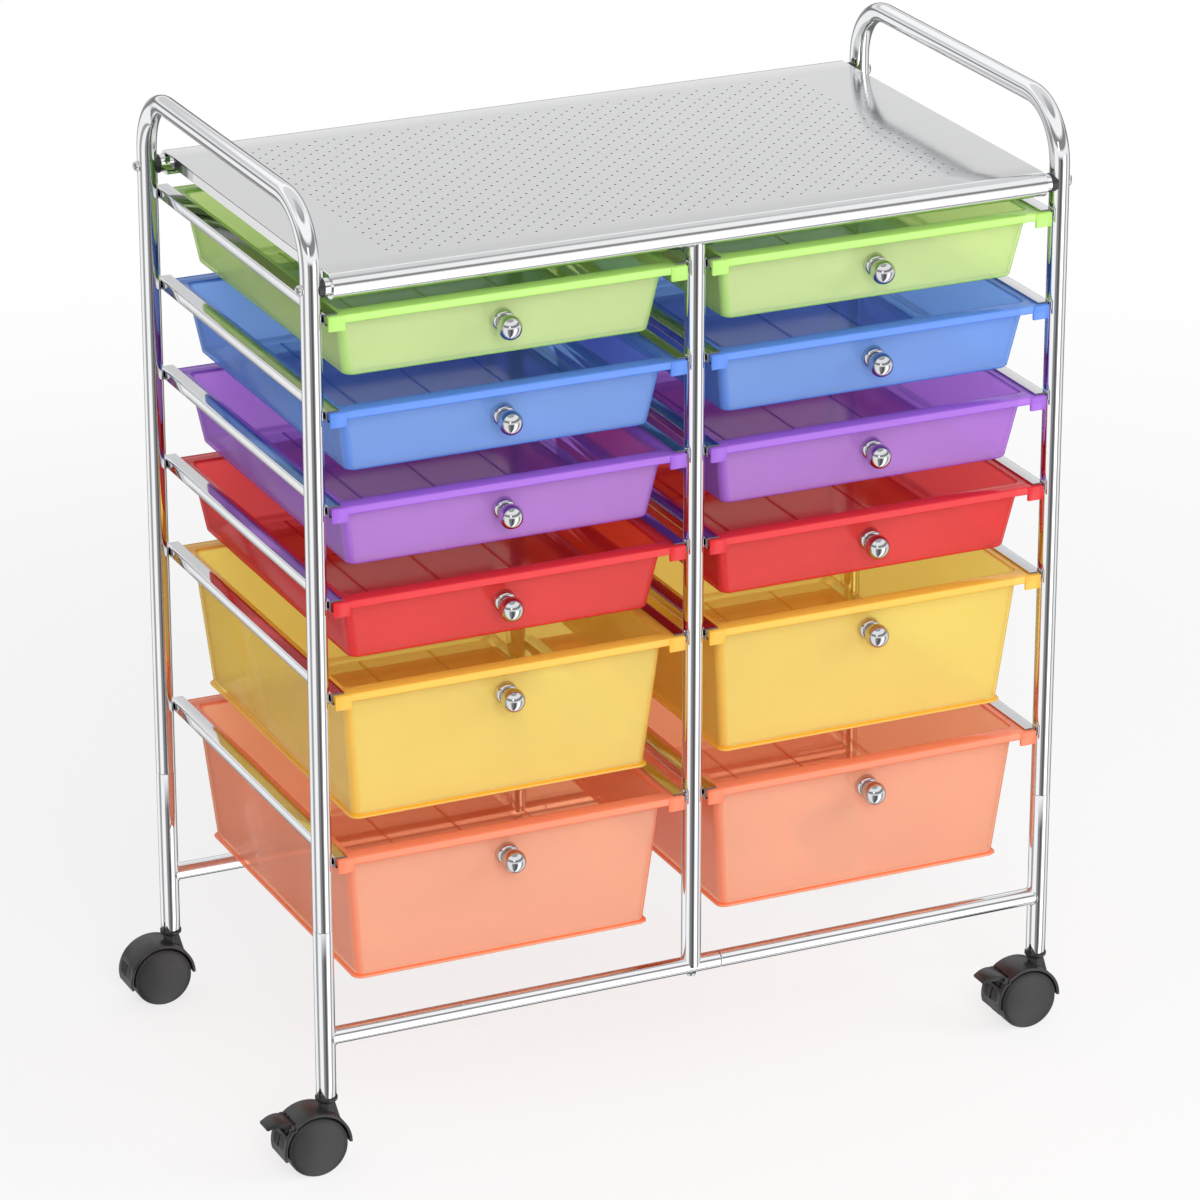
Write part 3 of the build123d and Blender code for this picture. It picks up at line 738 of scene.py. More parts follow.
def pan_head():
    """A domed screw head on its shank, along +Z from its seat, with a cross cut into the crown."""
    shape = bmesh.new()
    profile = [(0, -SHANK_L), (SHANK_R, -SHANK_L), (SHANK_R, 0), (HEAD_R, 0)]
    for i in range(DOME_STEPS + 1):
        a = pi / 2 * i / DOME_STEPS
        radius = HEAD_R * cos(a) ** HEAD_ROUND if i < DOME_STEPS else 0
        profile.append((radius, HEAD_H * (HEAD_EDGE + (1 - HEAD_EDGE) * sin(a))))
    lathe(shape, profile, (0, 0, 0), sides=HEAD_SIDES)
    cutter = bmesh.new()
    for half_x, half_y in ((RECESS_L / 2, RECESS_W / 2), (RECESS_W / 2, RECESS_L / 2)):
        slab(cutter, (-half_x, -half_y, HEAD_H - RECESS_D), (half_x, half_y, 2 * HEAD_H))
    return carve(shape, cutter)


screw_steel = chrome(
    "screw_steel", pale=(0.74, 0.745, 0.76), deep=(0.66, 0.665, 0.68), smooth=0.10, dull=0.18, wave=3e-6
)
seats, turns = [], []
for x, y in CORNERS.values():
    out = 1 if x > 0 else -1
    seats.append((x + out * post_r, y, top_tube_z))
    turns.append((POST_SCREW_TURN, out * pi / 2, 0))
for y in (-post_y, post_y):
    seats.append((0, y, bottom_bar_z - bar_r))
    turns.append((pi, 0, BAR_SCREW_TURN))
screws = copies("frame_screw_set", pan_head(), seats, turns, screw_steel)
dress("frame_screw_set", screws, screw_steel, "frame", "screw_steel", "frame_screws")

# Drawers: thin tubs of translucent glossy plastic, moulded with drafted walls and a
# skirted rim that hangs in the rails. Two tabs on the rim stop against the rail ends.
# The rim colour of each drawer is painted shade: rims, creases, corners and tabs are mixed towards it, darker
# and deeper where light passes through more plastic.
COLOURS = {
    "green": {"haze": (0.93, 0.99, 0.60), "tint": (0.84, 0.96, 0.58), "rim": (0.43, 0.83, 0.13)},
    "blue": {"haze": (0.38, 0.62, 1.0), "tint": (0.50, 0.68, 0.98), "rim": (0.08, 0.24, 0.80)},
    "purple": {"haze": (0.80, 0.42, 0.90), "tint": (0.72, 0.48, 0.92), "rim": (0.33, 0.10, 0.70)},
    "red": {"haze": (0.97, 0.12, 0.11), "tint": (0.97, 0.34, 0.35), "rim": (0.74, 0.02, 0.035)},
    "yellow": {"haze": (1.0, 0.95, 0.32), "tint": (1.0, 0.88, 0.42), "rim": (0.95, 0.48, 0.03)},
    "orange": {"haze": (1.0, 0.74, 0.53), "tint": (1.0, 0.64, 0.47), "rim": (1.0, 0.19, 0.07)},
}
SHALLOW_DRAFT = 9.5
DEEP_DRAFT = 5.5
RIM_OVERHANG = 12.3 * MM
RIM_T = 2 * MM
SKIRT_H = 6.3 * MM
WALL = 2 * MM
FLOOR_T = 2.2 * MM
RIM_CORNER = 3 * MM
TUB_CORNER = 7.5 * MM
EDGE = 0.7 * MM
BOTTOM_ROUND = 2.5 * MM
FLOOR_BAND = 3 * BOTTOM_ROUND
BASE_LIP = 2.5 * MM
BASE_LIP_T = 2.4 * MM
BASE_BAND = 6 * MM
TAB_W = 14 * MM
TAB_H = 12 * MM
TAB_PROUD = 0.6 * MM
TAB_SIDE_GAP = 0.2 * MM
TAB_ROUND = 0.5 * MM
RIB_W = 2.0 * MM
RIB_H = 0.8 * MM
RIB_INSET = 14 * MM
RIBS_ALONG = (0.25, 0.5, 0.75)
RIBS_ACROSS = (1 / 3, 2 / 3)
CORNER_STEPS = 8
ROUND_STEPS = 4
EDGE_BAND = 1.6 * MM
CLEAR_WALL, CLEAR_EDGE = 0.66, 0.25
TUB_TONES, TUB_RUBS, TUB_WAVES = 9, 70, 60
TUB_SHADE = 0.93
TUB_SMOOTH, TUB_DULL = 0.07, 0.13
TUB_WAVE_H = 4e-6
TUB_IOR = 1.49
# How deep the colour is at each place of the moulding, from a plain wall to a sharp edge: painted shade, darker
# and less clear where light passes through more plastic.
PLAIN, FLOOR_TURN, UNDERSIDE, LIP_FACE, FACE = 0, 0.3, 0.5, 0.6, 0.7
RIM_TOP, TURN, CREASE, CUT = 0.75, 0.8, 0.9, 1


def mix_shaders(tree, *sources):
    """Two shaders, mixed by a share that comes first."""
    mix = add_node(tree, "ShaderNodeMixShader")
    for source, target in zip(sources, mix.inputs):
        feed(source, target)
    return mix.outputs["Shader"]


def drawer_plastic(name, haze, tint, rim):
    """Translucent moulded plastic: part of the light passes, tinted, and edges get painted shade, a deeper,
    darker colour and a less clear wall.
    """
    material, tree, shader, where = finish_tree(name, {"IOR": TUB_IOR})
    edge = add_node(tree, "ShaderNodeAttribute", attribute_name="edge").outputs["Fac"]
    shade = tuple(c * TUB_SHADE for c in haze)
    colour = add_node(tree, "ShaderNodeMix", {"B": (*rim, 1)}, data_type="RGBA")
    feed(edge, colour.inputs["Factor"])
    feed(noise_colour(tree, where, TUB_TONES, haze, shade), colour.inputs["A"])
    feed(colour.outputs["Result"], shader.inputs["Base Color"])
    feed(noise_range(tree, where, TUB_RUBS, TUB_SMOOTH, TUB_DULL), shader.inputs["Roughness"])
    noise_bump(tree, where, TUB_WAVES, TUB_WAVE_H, shader)
    share = add_node(tree, "ShaderNodeMapRange", {"To Min": CLEAR_WALL, "To Max": CLEAR_EDGE})
    feed(edge, share.inputs["Value"])
    clear = add_node(tree, "ShaderNodeBsdfTransparent", {"Color": (*tint, 1)})
    mixed = mix_shaders(tree, share.outputs["Result"], shader.outputs["BSDF"], clear.outputs["BSDF"])
    feed(mixed, tree.nodes["Material Output"].inputs["Surface"])
    return material


def drawn_in(low, high, inset):
    """The sides of a box seen from above, drawn in by inset."""
    return low.x + inset, high.x - inset, low.y + inset, high.y - inset


def rounded_frame(low, high, inset, corner, z):
    """Points round a rectangle with rounded corners, drawn in by inset from two corners of a box."""
    x0, x1, y0, y1 = drawn_in(low, high, inset + corner)
    centers = ((x1, y1), (x0, y1), (x0, y0), (x1, y0))
    return [
        Vector((u, v, z))
        for quarter, (cx, cy) in enumerate(centers)
        for u, v in arc(cx, cy, corner, 90 * quarter, 90 * quarter + 90, CORNER_STEPS)
    ]


def tub(shape, low, high, draft, deep):
    """The shell of a drawer, from its underside round the rim and down to the floor inside."""
    slope = tan(radians(draft))
    height = high.z - low.z
    inside = height - FLOOR_T
    inner_corner = TUB_CORNER - WALL

    def wall_out(depth):
        return RIM_OVERHANG + depth * slope

    def wall_in(depth):
        return wall_out(depth) + WALL

    def on_wall(depth, edge):
        return wall_out(depth), TUB_CORNER, depth, edge

    def in_wall(depth, edge):
        return wall_in(depth), inner_corner, depth, edge

    def floor_round(wall, depth, corner, edge):
        """Rows of the rounding between a wall and a level face at its foot, from that face up."""
        rows = []
        for i in range(ROUND_STEPS + 1):
            a = pi / 2 * i / ROUND_STEPS
            level = depth - BOTTOM_ROUND * (1 - cos(a))
            rows.append((wall(level) + BOTTOM_ROUND * (1 - sin(a)), corner, level, edge))
        return rows

    if deep:
        foot = wall_out(height)
        lip_top = height - BASE_LIP_T
        rows = [
            (foot + BASE_BAND, TUB_CORNER, height, PLAIN),
            (foot - BASE_LIP + EDGE, TUB_CORNER, height, LIP_FACE),
            (foot - BASE_LIP, TUB_CORNER, height - EDGE, LIP_FACE),
            (foot - BASE_LIP, TUB_CORNER, lip_top + EDGE, LIP_FACE),
            (foot - BASE_LIP + EDGE, TUB_CORNER, lip_top, CUT),
            (wall_out(lip_top), TUB_CORNER, lip_top - EDGE / 2, CUT),
            on_wall(lip_top - EDGE_BAND, PLAIN),
        ]
    else:
        rows = [
            (wall_out(height) + FLOOR_BAND, TUB_CORNER, height, PLAIN),
            *floor_round(wall_out, height, TUB_CORNER, FACE),
            on_wall(height - BOTTOM_ROUND - EDGE_BAND, PLAIN),
        ]
    rim_low = RIM_T + EDGE
    rim_in = 2 * EDGE
    rows += [
        on_wall(rim_low + EDGE_BAND, PLAIN),
        on_wall(rim_low, TURN),
        (wall_out(RIM_T) - EDGE, TUB_CORNER, RIM_T, TURN),
        (rim_low, RIM_CORNER, RIM_T, UNDERSIDE),
        (RIM_T, RIM_CORNER, rim_low, UNDERSIDE),
        (RIM_T, RIM_CORNER, SKIRT_H - EDGE / 2, TURN),
        (RIM_T - EDGE / 2, RIM_CORNER, SKIRT_H, CUT),
        (EDGE / 2, RIM_CORNER, SKIRT_H, CUT),
        (0, RIM_CORNER, SKIRT_H - EDGE / 2, CUT),
        (0, RIM_CORNER, SKIRT_H - 2 * EDGE, FACE),
        (0, RIM_CORNER, 2 * EDGE, FACE),
        (0, RIM_CORNER, EDGE, TURN),
        (EDGE * 0.3, RIM_CORNER, EDGE * 0.3, TURN),
        (EDGE, RIM_CORNER, 0, RIM_TOP),
        (wall_in(0) - rim_in, TUB_CORNER, 0, RIM_TOP),
        (wall_in(0) - EDGE * 0.5, inner_corner, EDGE * 0.4, CREASE),
        in_wall(rim_in, CREASE),
        in_wall(rim_in + EDGE_BAND, PLAIN),
        *floor_round(wall_in, inside, inner_corner, FLOOR_TURN)[::-1],
        (wall_in(inside) + FLOOR_BAND, inner_corner, inside, PLAIN),
    ]
    tint = shape.verts.layers.float.new("edge")
    rings = [rounded_frame(low, high, inset, corner, high.z - depth) for inset, corner, depth, edge in rows]
    for ring, (inset, corner, depth, edge) in zip(skin(shape, rings), rows):
        for i, v in enumerate(ring):
            # Corners get painted shade as well, deepest midway round each one.
            painted_corner_shade = sin(pi * (i % (CORNER_STEPS + 1)) / CORNER_STEPS)
            v[tint] = max(edge, FACE * painted_corner_shade)


def floor_ribs(shape, low, high, draft):
    """Low ribs moulded on the floor, three along the drawer and two across."""
    inset = RIM_OVERHANG + WALL + (high.z - low.z - FLOOR_T) * tan(radians(draft))
    floor = low.z + FLOOR_T
    x0, x1, y0, y1 = drawn_in(low, high, inset)
    for share in RIBS_ALONG:
        x = x0 + share * (x1 - x0)
        slab(shape, (x - RIB_W / 2, y0 + RIB_INSET, floor), (x + RIB_W / 2, y1 - RIB_INSET, floor + RIB_H))
    for share in RIBS_ACROSS:
        y = y0 + share * (y1 - y0)
        slab(shape, (x0 + RIB_INSET, y - RIB_W / 2, floor), (x1 - RIB_INSET, y + RIB_W / 2, floor + RIB_H))


def stop_tabs(shape, low, high):
    """The pads at the two ends of the front rim, a little proud of it and hanging below it."""
    known = set(shape.verts)
    for edge, inward in ((low.x, 1), (high.x, -1)):
        x0, x1 = sorted((edge + inward * TAB_SIDE_GAP, edge + inward * TAB_W))
        slab(
            shape,
            (x0, low.y - TAB_PROUD, high.z - TAB_H),
            (x1, low.y + RIM_T, high.z - TAB_ROUND),
            TAB_ROUND,
        )
    tint = shape.verts.layers.float["edge"]
    for v in set(shape.verts) - known:
        # The tabs get painted shade, a deeper colour like the rim's.
        v[tint] = TURN


def drawers():
    """Each drawer's colour, column, name, draft and depth, by columns from the top down."""
    for column in ("left", "right"):
        for row, colour in enumerate(COLOURS):
            deep = row >= SHALLOW_ROWS
            yield colour, column, f"drawer_{colour}_{column}", DEEP_DRAFT if deep else SHALLOW_DRAFT, deep


plastics = {
    colour: drawer_plastic(f"{colour}_plastic", **tones)
    for colour, tones in COLOURS.items()
}
for colour, column, name, draft, deep in drawers():
    low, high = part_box(name)
    shell = bmesh.new()
    tub(shell, low, high, draft, deep)
    floor_ribs(shell, low, high, draft)
    stop_tabs(shell, low, high)
    piece(f"tub_{colour}_{column}", shell, plastics[colour], name, f"{colour}_plastic", name)

# Knobs: turned and plated balls on a beaded neck and a domed foot, pulled against the
# sloping front wall by a screw from inside the drawer.
KNOB_DROP = 27 * MM
KNOB_R = 9.8 * MM
KNOB_REACH = 15.5 * MM
KNOB_SIDES = 56
BALL_STEPS = 22
KNOB_FOOT_R = 9.4 * MM
KNOB_FOOT_H = 6.0 * MM
KNOB_FOOT_ROUND = 2.6
KNOB_NECK_R = 4.3 * MM
KNOB_BEAD = 0.7 * MM
FOOT_STEPS = 10
BEAD_STEPS = 6
KNOB_SCREW_R = 4.0 * MM
KNOB_SCREW_H = 2.4 * MM
KNOB_SCREW_SHARES = ((0, 0), (1, 0), (1, 0.4), (0.85, 0.8), (0.5, 1), (0, 1))


def knob_profile():
    """Half outline of a knob, from its domed foot on the wall past a bead to the crown of the ball."""
    points = [(0, 0)]
    for i in range(FOOT_STEPS + 1):
        a = pi / 2 * i / FOOT_STEPS
        share = max(cos(a), 0) ** (2 / KNOB_FOOT_ROUND)
        rise = sin(a) ** (2 / KNOB_FOOT_ROUND)
        points.append((KNOB_NECK_R + share * (KNOB_FOOT_R - KNOB_NECK_R), rise * KNOB_FOOT_H))
    start = acos(KNOB_NECK_R / KNOB_R)
    ball_foot = KNOB_REACH - KNOB_R * sin(start)
    for i in range(1, BEAD_STEPS):
        share = i / BEAD_STEPS
        radius = KNOB_NECK_R + KNOB_BEAD * sin(pi * share)
        points.append((radius, KNOB_FOOT_H + share * (ball_foot - KNOB_FOOT_H)))
    for i in range(BALL_STEPS + 1):
        a = -start + (pi / 2 + start) * i / BALL_STEPS
        radius = KNOB_R * cos(a) if i < BALL_STEPS else 0
        points.append((radius, KNOB_REACH + KNOB_R * sin(a)))
    return points


knob_chrome = chrome(
    "knob_chrome", pale=(0.68, 0.685, 0.70), deep=(0.64, 0.645, 0.66), smooth=0.02, dull=0.05, wave=2e-6
)
knob_screw = [(r * KNOB_SCREW_R, h * KNOB_SCREW_H) for r, h in KNOB_SCREW_SHARES]
for colour, column, name, draft, deep in drawers():
    low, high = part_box(name)
    slope = radians(draft)
    out = Vector((0, -cos(slope), -sin(slope)))
    seat = Vector((
        (low.x + high.x) / 2,
        low.y + RIM_OVERHANG + KNOB_DROP * tan(slope),
        high.z - KNOB_DROP,
    ))
    knob = bmesh.new()
    lathe(knob, knob_profile(), seat, out, KNOB_SIDES)
    lathe(knob, knob_screw, seat - WALL * out, -out, HEAD_SIDES)
    piece(f"ball_knob_{colour}_{column}", knob, knob_chrome, name, "knob_chrome", f"knob_{colour}_{column}")

# Stem sockets: black plastic sleeves pressed into the feet of the legs, each with a
# cupped collar that carries the leg and takes the caster's stem.
COLLAR_H = 3.0 * MM
COLLAR_FOOT_R = 6.7 * MM
COLLAR_R = 7.2 * MM
CUP_R = 8.9 * MM
CUP_LOW = -1.3 * MM
CUP_SIDE = -0.8 * MM
CUP_TOP = 1.5 * MM
CUP_PLAY = 0.1 * MM
CUP_EDGE = 0.3 * MM
SLEEVE_L = 38 * MM
STEM_BORE = 3.06 * MM
socket_profile = [
    (STEM_BORE, -COLLAR_H),
    (COLLAR_FOOT_R, -COLLAR_H),
    (COLLAR_R, -COLLAR_H + CUP_EDGE),
    (CUP_R - CUP_EDGE, CUP_LOW),
    (CUP_R, CUP_SIDE),
    (CUP_R, CUP_TOP - CUP_EDGE),
    (CUP_R - CUP_EDGE, CUP_TOP),
    (post_r + CUP_PLAY, CUP_TOP),
    (post_r + CUP_PLAY, 0),
    (plug_r, 0),
    (plug_r, SLEEVE_L),
    (STEM_BORE, SLEEVE_L),
    (STEM_BORE, -COLLAR_H),
]
sockets = bmesh.new()
for x, y in CORNERS.values():
    lathe(sockets, socket_profile, (x, y, leg_z))
piece("stem_socket_set", sockets, moulded_black, "frame", "black_plastic", "stem_sockets")

# Caster housings: black moulded hoods over a pair of wheels, with a centre web for the
# axle and a neck for the stem, set back from the axle. A slot is moulded in each hood's back.
wheel_low, wheel_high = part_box("wheel_outer_rear_left")
axle_z = (wheel_low.z + wheel_high.z) / 2
trail = -post_x - (wheel_low.x + wheel_high.x) / 2
wheel_r = (wheel_high.z - wheel_low.z) / 2
HOOD_R = 28.6 * MM
HOOD_EDGE = 0.35 * MM
SLOT_W = 2.8 * MM
SLOT_DEPTH = 1.8 * MM
SLOT_CLEAR = 1.0 * MM
SLOT_FROM, SLOT_TO = 157, 178
COPY_WITHIN = 1e-6
FLAT_DEG = 0.5
BREAK_DEG = 35


def softened_copy(node, edge):
    """A merged copy of a moulded piece, its flat faces joined and its sharp edges broken."""
    shape = bmesh.new()
    shape.from_mesh(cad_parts[node].data)
    bmesh.ops.remove_doubles(shape, verts=shape.verts, dist=COPY_WITHIN)
    bmesh.ops.dissolve_limit(shape, angle_limit=radians(FLAT_DEG), verts=shape.verts, edges=shape.edges)
    sharp = [e for e in shape.edges if e.is_manifold and e.calc_face_angle() > radians(BREAK_DEG)]
    bmesh.ops.bevel(shape, geom=sharp, offset=edge, segments=2, profile=0.5, affect="EDGES", clamp_overlap=True)
    return shape


def about_axle(center, across, radius, degrees):
    """A point at a radius and angle round an axle, where 0 is +X and 90 is up."""
    a = radians(degrees)
    return center + Vector((radius * cos(a), across, radius * sin(a)))


slot_low, slot_high = HOOD_R - SLOT_DEPTH, HOOD_R + SLOT_CLEAR
slot_section = ((-1, slot_low), (1, slot_low), (1, slot_high), (-1, slot_high))
for corner, (x, y) in CORNERS.items():
    axle = Vector((x - trail, y, axle_z))
    slot = bmesh.new()
    skin(slot, [
        [about_axle(axle, side * SLOT_W / 2, radius, degrees) for side, radius in slot_section]
        for degrees in (SLOT_FROM, (SLOT_FROM + SLOT_TO) / 2, SLOT_TO)
    ])
    node = f"caster_housing_{corner}"
    hood = carve(softened_copy(node, HOOD_EDGE), slot)
    piece(f"hood_{corner}", hood, moulded_black, f"caster_{corner}", "black_plastic", node)

# Caster wheels: black plastic discs in pairs, each with a plain domed cover and a
# rounded tread, hollow on the side of the web.
WHEEL_INNER = 3.5 * MM
WHEEL_OUTER = 15.5 * MM
WHEEL_DOME = 2.0 * MM
WHEEL_SIDES = 72
DOME_RINGS = 8
HUB_R = 7.5 * MM
HUB_DISH = 2 * MM
HOLLOW = 7 * MM
TREAD_T = 4 * MM
TREAD_ROUND = 1.2 * MM
TREAD_BREAK = 0.35 * MM
SHOULDER_W, SHOULDER_EDGE = 2.2 * MM, 0.7 * MM
SHOULDER_DROP = 0.6 * MM
COVER_INSET = 1.8 * MM
cover_r = wheel_r - COVER_INSET
wheel_profile = [
    (0, WHEEL_INNER + HUB_DISH),
    (HUB_R, WHEEL_INNER),
    (HUB_R, WHEEL_INNER + HOLLOW),
    (wheel_r - TREAD_T, WHEEL_INNER + HOLLOW),
    (wheel_r - TREAD_T, WHEEL_INNER),
    (wheel_r - TREAD_ROUND, WHEEL_INNER),
    (wheel_r - TREAD_BREAK, WHEEL_INNER + TREAD_BREAK),
    (wheel_r, WHEEL_INNER + TREAD_ROUND),
    (wheel_r, WHEEL_OUTER - SHOULDER_W),
    (wheel_r - SHOULDER_DROP, WHEEL_OUTER - SHOULDER_EDGE),
]
for i in range(DOME_RINGS + 1):
    share = 1 - i / DOME_RINGS
    wheel_profile.append((cover_r * share, WHEEL_OUTER + WHEEL_DOME * (1 - share**2)))
wheel_black = black_plastic(
    "wheel_plastic",
    pale=(0.020, 0.020, 0.021), deep=(0.026, 0.025, 0.025), smooth=0.32, dull=0.38, wave=1e-6,
)
for corner, (x, y) in CORNERS.items():
    for which in ("outer", "inner"):
        side = -1 if (which == "outer") == (y < 0) else 1
        disc = bmesh.new()
        lathe(disc, wheel_profile, (x - trail, y, axle_z), side * Y_AXIS, WHEEL_SIDES)
        wheel = f"wheel_{which}_{corner}"
        piece(f"disc_{which}_{corner}", disc, wheel_black, wheel, "wheel_plastic", wheel)

# Brake levers: crowned black pedals on the two front casters. Each hinges between the
# ears of its hood and tips down on the wheels.
for corner in ("front_left", "front_right"):
    node = f"brake_lever_{corner}"
    piece(f"pedal_{corner}", softened_copy(node, HOOD_EDGE), moulded_black, node, "black_plastic", node)

# Caster pins: zinc plated steel axles and stems, cut from rod. The stem is pressed into
# the housing and turns in the socket, so both are almost hidden.
pin_steel = chrome(
    "pin_steel", pale=(0.66, 0.66, 0.67), deep=(0.58, 0.58, 0.60), smooth=0.22, dull=0.34, wave=4e-6
)
for corner in CORNERS:
    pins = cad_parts[f"caster_pins_{corner}"]
    pins.data.materials.clear()
    pins.data.materials.append(pin_steel)

# Studio: a pale floor that runs out to plain white, a white surround with grey and
# dark flags for the chrome to mirror, two large soft lamps, and a small one for mirrors.
FLOOR_HALF = 6.0
FLOOR_NEAR, FLOOR_FAR = 0.75, 2.2
FLOOR_GREY = (0.86, 0.86, 0.86, 1)
FLOOR_ROUGH = 0.9
FLOOR_GLOW = 0.75
WORLD_LEVEL = 0.60
FLAG_LEVEL = 1.15
WHITE = (1, 1, 1, 1)
UPRIGHT_FLAGS = [
    (-180, 0.45), (-171, 0.22), (-163, 0.22), (-159, 0.90), (-144, 0.92), (-118, 0.96), (-108, 0.36),
    (-88, 0.36), (-80, 0.96), (-48, 0.96), (-37, 0.26), (-20, 0.22), (-14, 0.09), (-2, 0.10), (8, 0.40),
    (15, 0.96), (19, 1.80), (37, 1.80), (41, 0.96), (46, 0.96), (53, 0.28), (60, 0.28), (70, 0.90),
    (92, 0.84), (110, 0.22), (125, 0.14), (155, 0.18), (172, 0.38), (180, 0.45),
]
FRONT_FLAGS = [
    (-1.0, 0.9), (0.0, 0.9), (0.15, 0.96), (0.22, 0.26), (0.44, 0.24), (0.56, 0.96), (0.86, 0.96),
    (0.91, 0.32), (1.0, 0.45),
]
REAR_FLAGS = [
    (-1.0, 0.2), (0.0, 0.20), (0.12, 0.22), (0.19, 0.90), (0.29, 0.72), (0.33, 0.63), (0.41, 0.63),
    (0.46, 0.97), (0.60, 0.97), (0.66, 0.72), (0.92, 0.72), (1.0, 0.45),
]
FLAGS_MEET = (-0.15, 0.15)
HORIZON = (-0.06, 0.04)


def studio_floor():
    """Matt grey to the light, and glowing to the camera, so that it runs out to white."""
    matt = {"Base Color": FLOOR_GREY, "Roughness": FLOOR_ROUGH, "Specular IOR Level": 0.0}
    material, tree, shader, where = finish_tree("studio_floor", matt)
    glow = add_node(tree, "ShaderNodeEmission")
    path = add_node(tree, "ShaderNodeLightPath")
    length = add_node(tree, "ShaderNodeVectorMath", operation="LENGTH")
    limits = {"From Min": FLOOR_NEAR, "From Max": FLOOR_FAR, "To Min": FLOOR_GLOW, "To Max": 1.0}
    fade = add_node(tree, "ShaderNodeMapRange", limits, interpolation_type="SMOOTHSTEP")
    seen = add_node(tree, "ShaderNodeMath", operation="MULTIPLY")
    feed(where, length.inputs[0])
    feed(length.outputs["Value"], fade.inputs["Value"])
    feed(fade.outputs["Result"], seen.inputs[0])
    feed(path.outputs["Is Camera Ray"], seen.inputs[1])
    mixed = mix_shaders(tree, seen.outputs["Value"], shader.outputs["BSDF"], glow.outputs["Emission"])
    feed(mixed, tree.nodes["Material Output"].inputs["Surface"])
    return material


floor_mesh = bpy.data.meshes.new("studio_floor")
floor_corners = [(x * FLOOR_HALF, y * FLOOR_HALF, 0) for x, y in ((-1, -1), (1, -1), (1, 1), (-1, 1))]
floor_mesh.from_pydata(floor_corners, [], [(0, 1, 2, 3)])
floor_mesh.materials.append(studio_floor())
floor = add_object("studio_floor", floor_mesh)
floor.visible_glossy = False


def ramp_of(tree, share, stops, whole):
    """A grey ramp along a share of a whole centred on 0, from (place, level) stops."""
    ramp = add_node(tree, "ShaderNodeValToRGB")
    elements = ramp.color_ramp.elements
    while len(elements) > 1:
        elements.remove(elements[-1])
    for i, (place, level) in enumerate(stops):
        stop = elements[0] if i == 0 else elements.new(place / whole + 0.5)
        stop.position = place / whole + 0.5
        stop.color = (level, level, level, 1)
    feed(share, ramp.inputs["Fac"])
    return ramp.outputs["Color"]


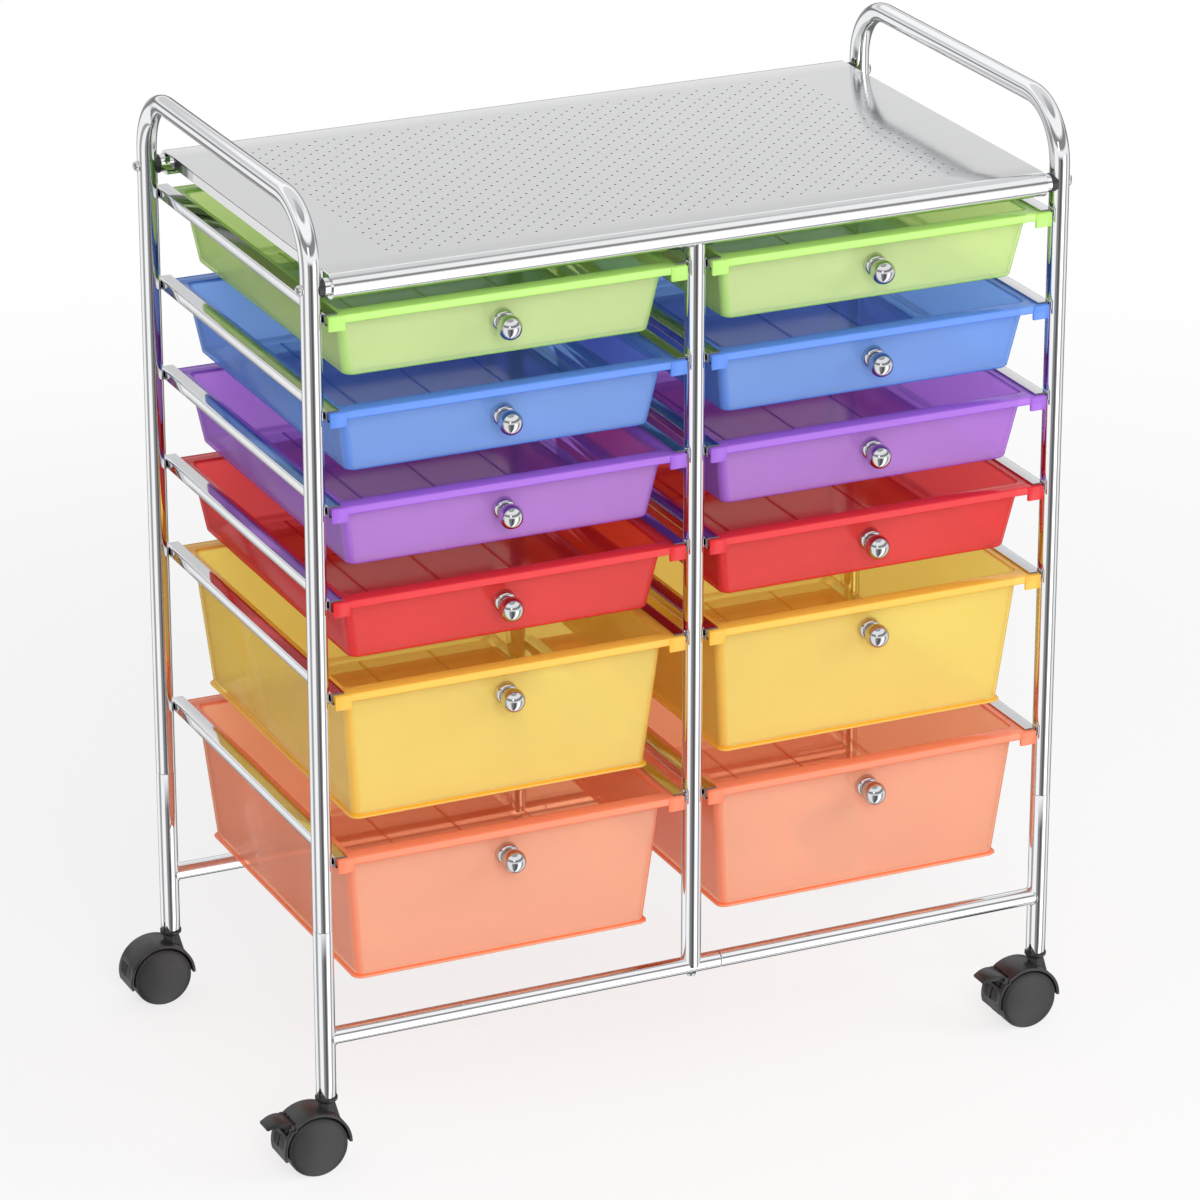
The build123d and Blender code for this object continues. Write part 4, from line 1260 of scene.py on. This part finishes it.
def studio_surround():
    """White all round; mirrors see flags, upright ones below the horizon and level ones above it."""
    world = bpy.data.worlds.new("studio_surround")
    bpy.context.scene.world = world
    world.use_nodes = True
    tree = world.node_tree
    place = add_node(tree, "ShaderNodeTexCoord")
    split = add_node(tree, "ShaderNodeSeparateXYZ")
    feed(place.outputs["Generated"], split.inputs["Vector"])

    def spread(value, low, high):
        """A value between low and high, as a share from 0 to 1."""
        share = add_node(tree, "ShaderNodeMapRange", {"From Min": low, "From Max": high})
        feed(value, share.inputs["Value"])
        return share.outputs["Result"]

    def blend(share, first, second):
        """Two greys mixed by a share."""
        mix = add_node(tree, "ShaderNodeMix", data_type="RGBA")
        feed(share, mix.inputs["Factor"])
        feed(first, mix.inputs["A"])
        feed(second, mix.inputs["B"])
        return mix.outputs["Result"]

    turned = add_node(tree, "ShaderNodeMath", {1: -1}, operation="MULTIPLY")
    feed(split.outputs["Y"], turned.inputs[0])
    angle = add_node(tree, "ShaderNodeMath", operation="ARCTAN2")
    feed(split.outputs["X"], angle.inputs[0])
    feed(turned.outputs["Value"], angle.inputs[1])
    height = spread(split.outputs["Z"], -1, 1)
    upright = ramp_of(tree, spread(angle.outputs["Value"], -pi, pi), UPRIGHT_FLAGS, 360)
    front = ramp_of(tree, height, FRONT_FLAGS, 2)
    rear = ramp_of(tree, height, REAR_FLAGS, 2)
    above = blend(spread(split.outputs["Y"], *FLAGS_MEET), front, rear)
    flags = blend(spread(split.outputs["Z"], *HORIZON), upright, above)
    mirror = add_node(tree, "ShaderNodeBackground", {"Strength": FLAG_LEVEL})
    feed(flags, mirror.inputs["Color"])
    white = add_node(tree, "ShaderNodeBackground", {"Color": WHITE})
    sky = tree.nodes["Background"]
    set_inputs(sky, {"Color": WHITE, "Strength": WORLD_LEVEL})
    path = add_node(tree, "ShaderNodeLightPath")
    plain = mix_shaders(tree, path.outputs["Is Camera Ray"], sky.outputs[0], white.outputs[0])
    mirrored = mix_shaders(tree, path.outputs["Is Glossy Ray"], plain, mirror.outputs[0])
    feed(mirrored, tree.nodes["World Output"].inputs["Surface"])


studio_surround()
LAMP_TARGET = Vector((0, 0, 0.4))


def soft_lamp(name, place, size, watts, mirrored):
    """A square soft box that faces the cart, either for mirrors alone or for all but mirrors."""
    light = bpy.data.lights.new(name, "AREA")
    light.size = size
    light.energy = watts
    lamp = add_object(name, light)
    lamp.location = place
    lamp.rotation_euler = (LAMP_TARGET - Vector(place)).to_track_quat("-Z", "Y").to_euler()
    lamp.visible_glossy = mirrored
    lamp.visible_diffuse = not mirrored


soft_lamp("key_box", place=(-0.7, -3.2, 1.9), size=1.8, watts=78, mirrored=False)
soft_lamp("fill_box", place=(2.4, -1.6, 1.7), size=1.6, watts=26, mirrored=False)
soft_lamp("catch_light", place=(-1.4, -3.0, 1.7), size=0.75, watts=3, mirrored=True)

# Camera: at the photograph's angle, worked out from its frame, with a long lens. Light
# passes many thin walls on its way through the drawers, so the limit for that is raised.
CAMERA_AZIMUTH = -24.893
CAMERA_ELEVATION = 21.615
CAMERA_DISTANCE = 4.5734
CAMERA_TARGET = (-0.001, 0, 0.36418)
CAMERA_LENS = 169.52
SENSOR_W = 36
CLEAR_LAYERS = 48
camera_data = bpy.data.cameras.new("camera")
camera_data.lens = CAMERA_LENS
camera_data.sensor_width = SENSOR_W
camera = add_object("camera", camera_data)
azimuth, elevation = radians(CAMERA_AZIMUTH), radians(CAMERA_ELEVATION)
back = Vector((
    sin(azimuth) * cos(elevation),
    -cos(azimuth) * cos(elevation),
    sin(elevation),
))
camera.location = Vector(CAMERA_TARGET) + CAMERA_DISTANCE * back
camera.rotation_euler = (-back).to_track_quat("-Z", "Y").to_euler()
scene = bpy.context.scene
scene.camera = camera
scene.view_settings.view_transform = "Standard"
scene.cycles.transparent_max_bounces = CLEAR_LAYERS
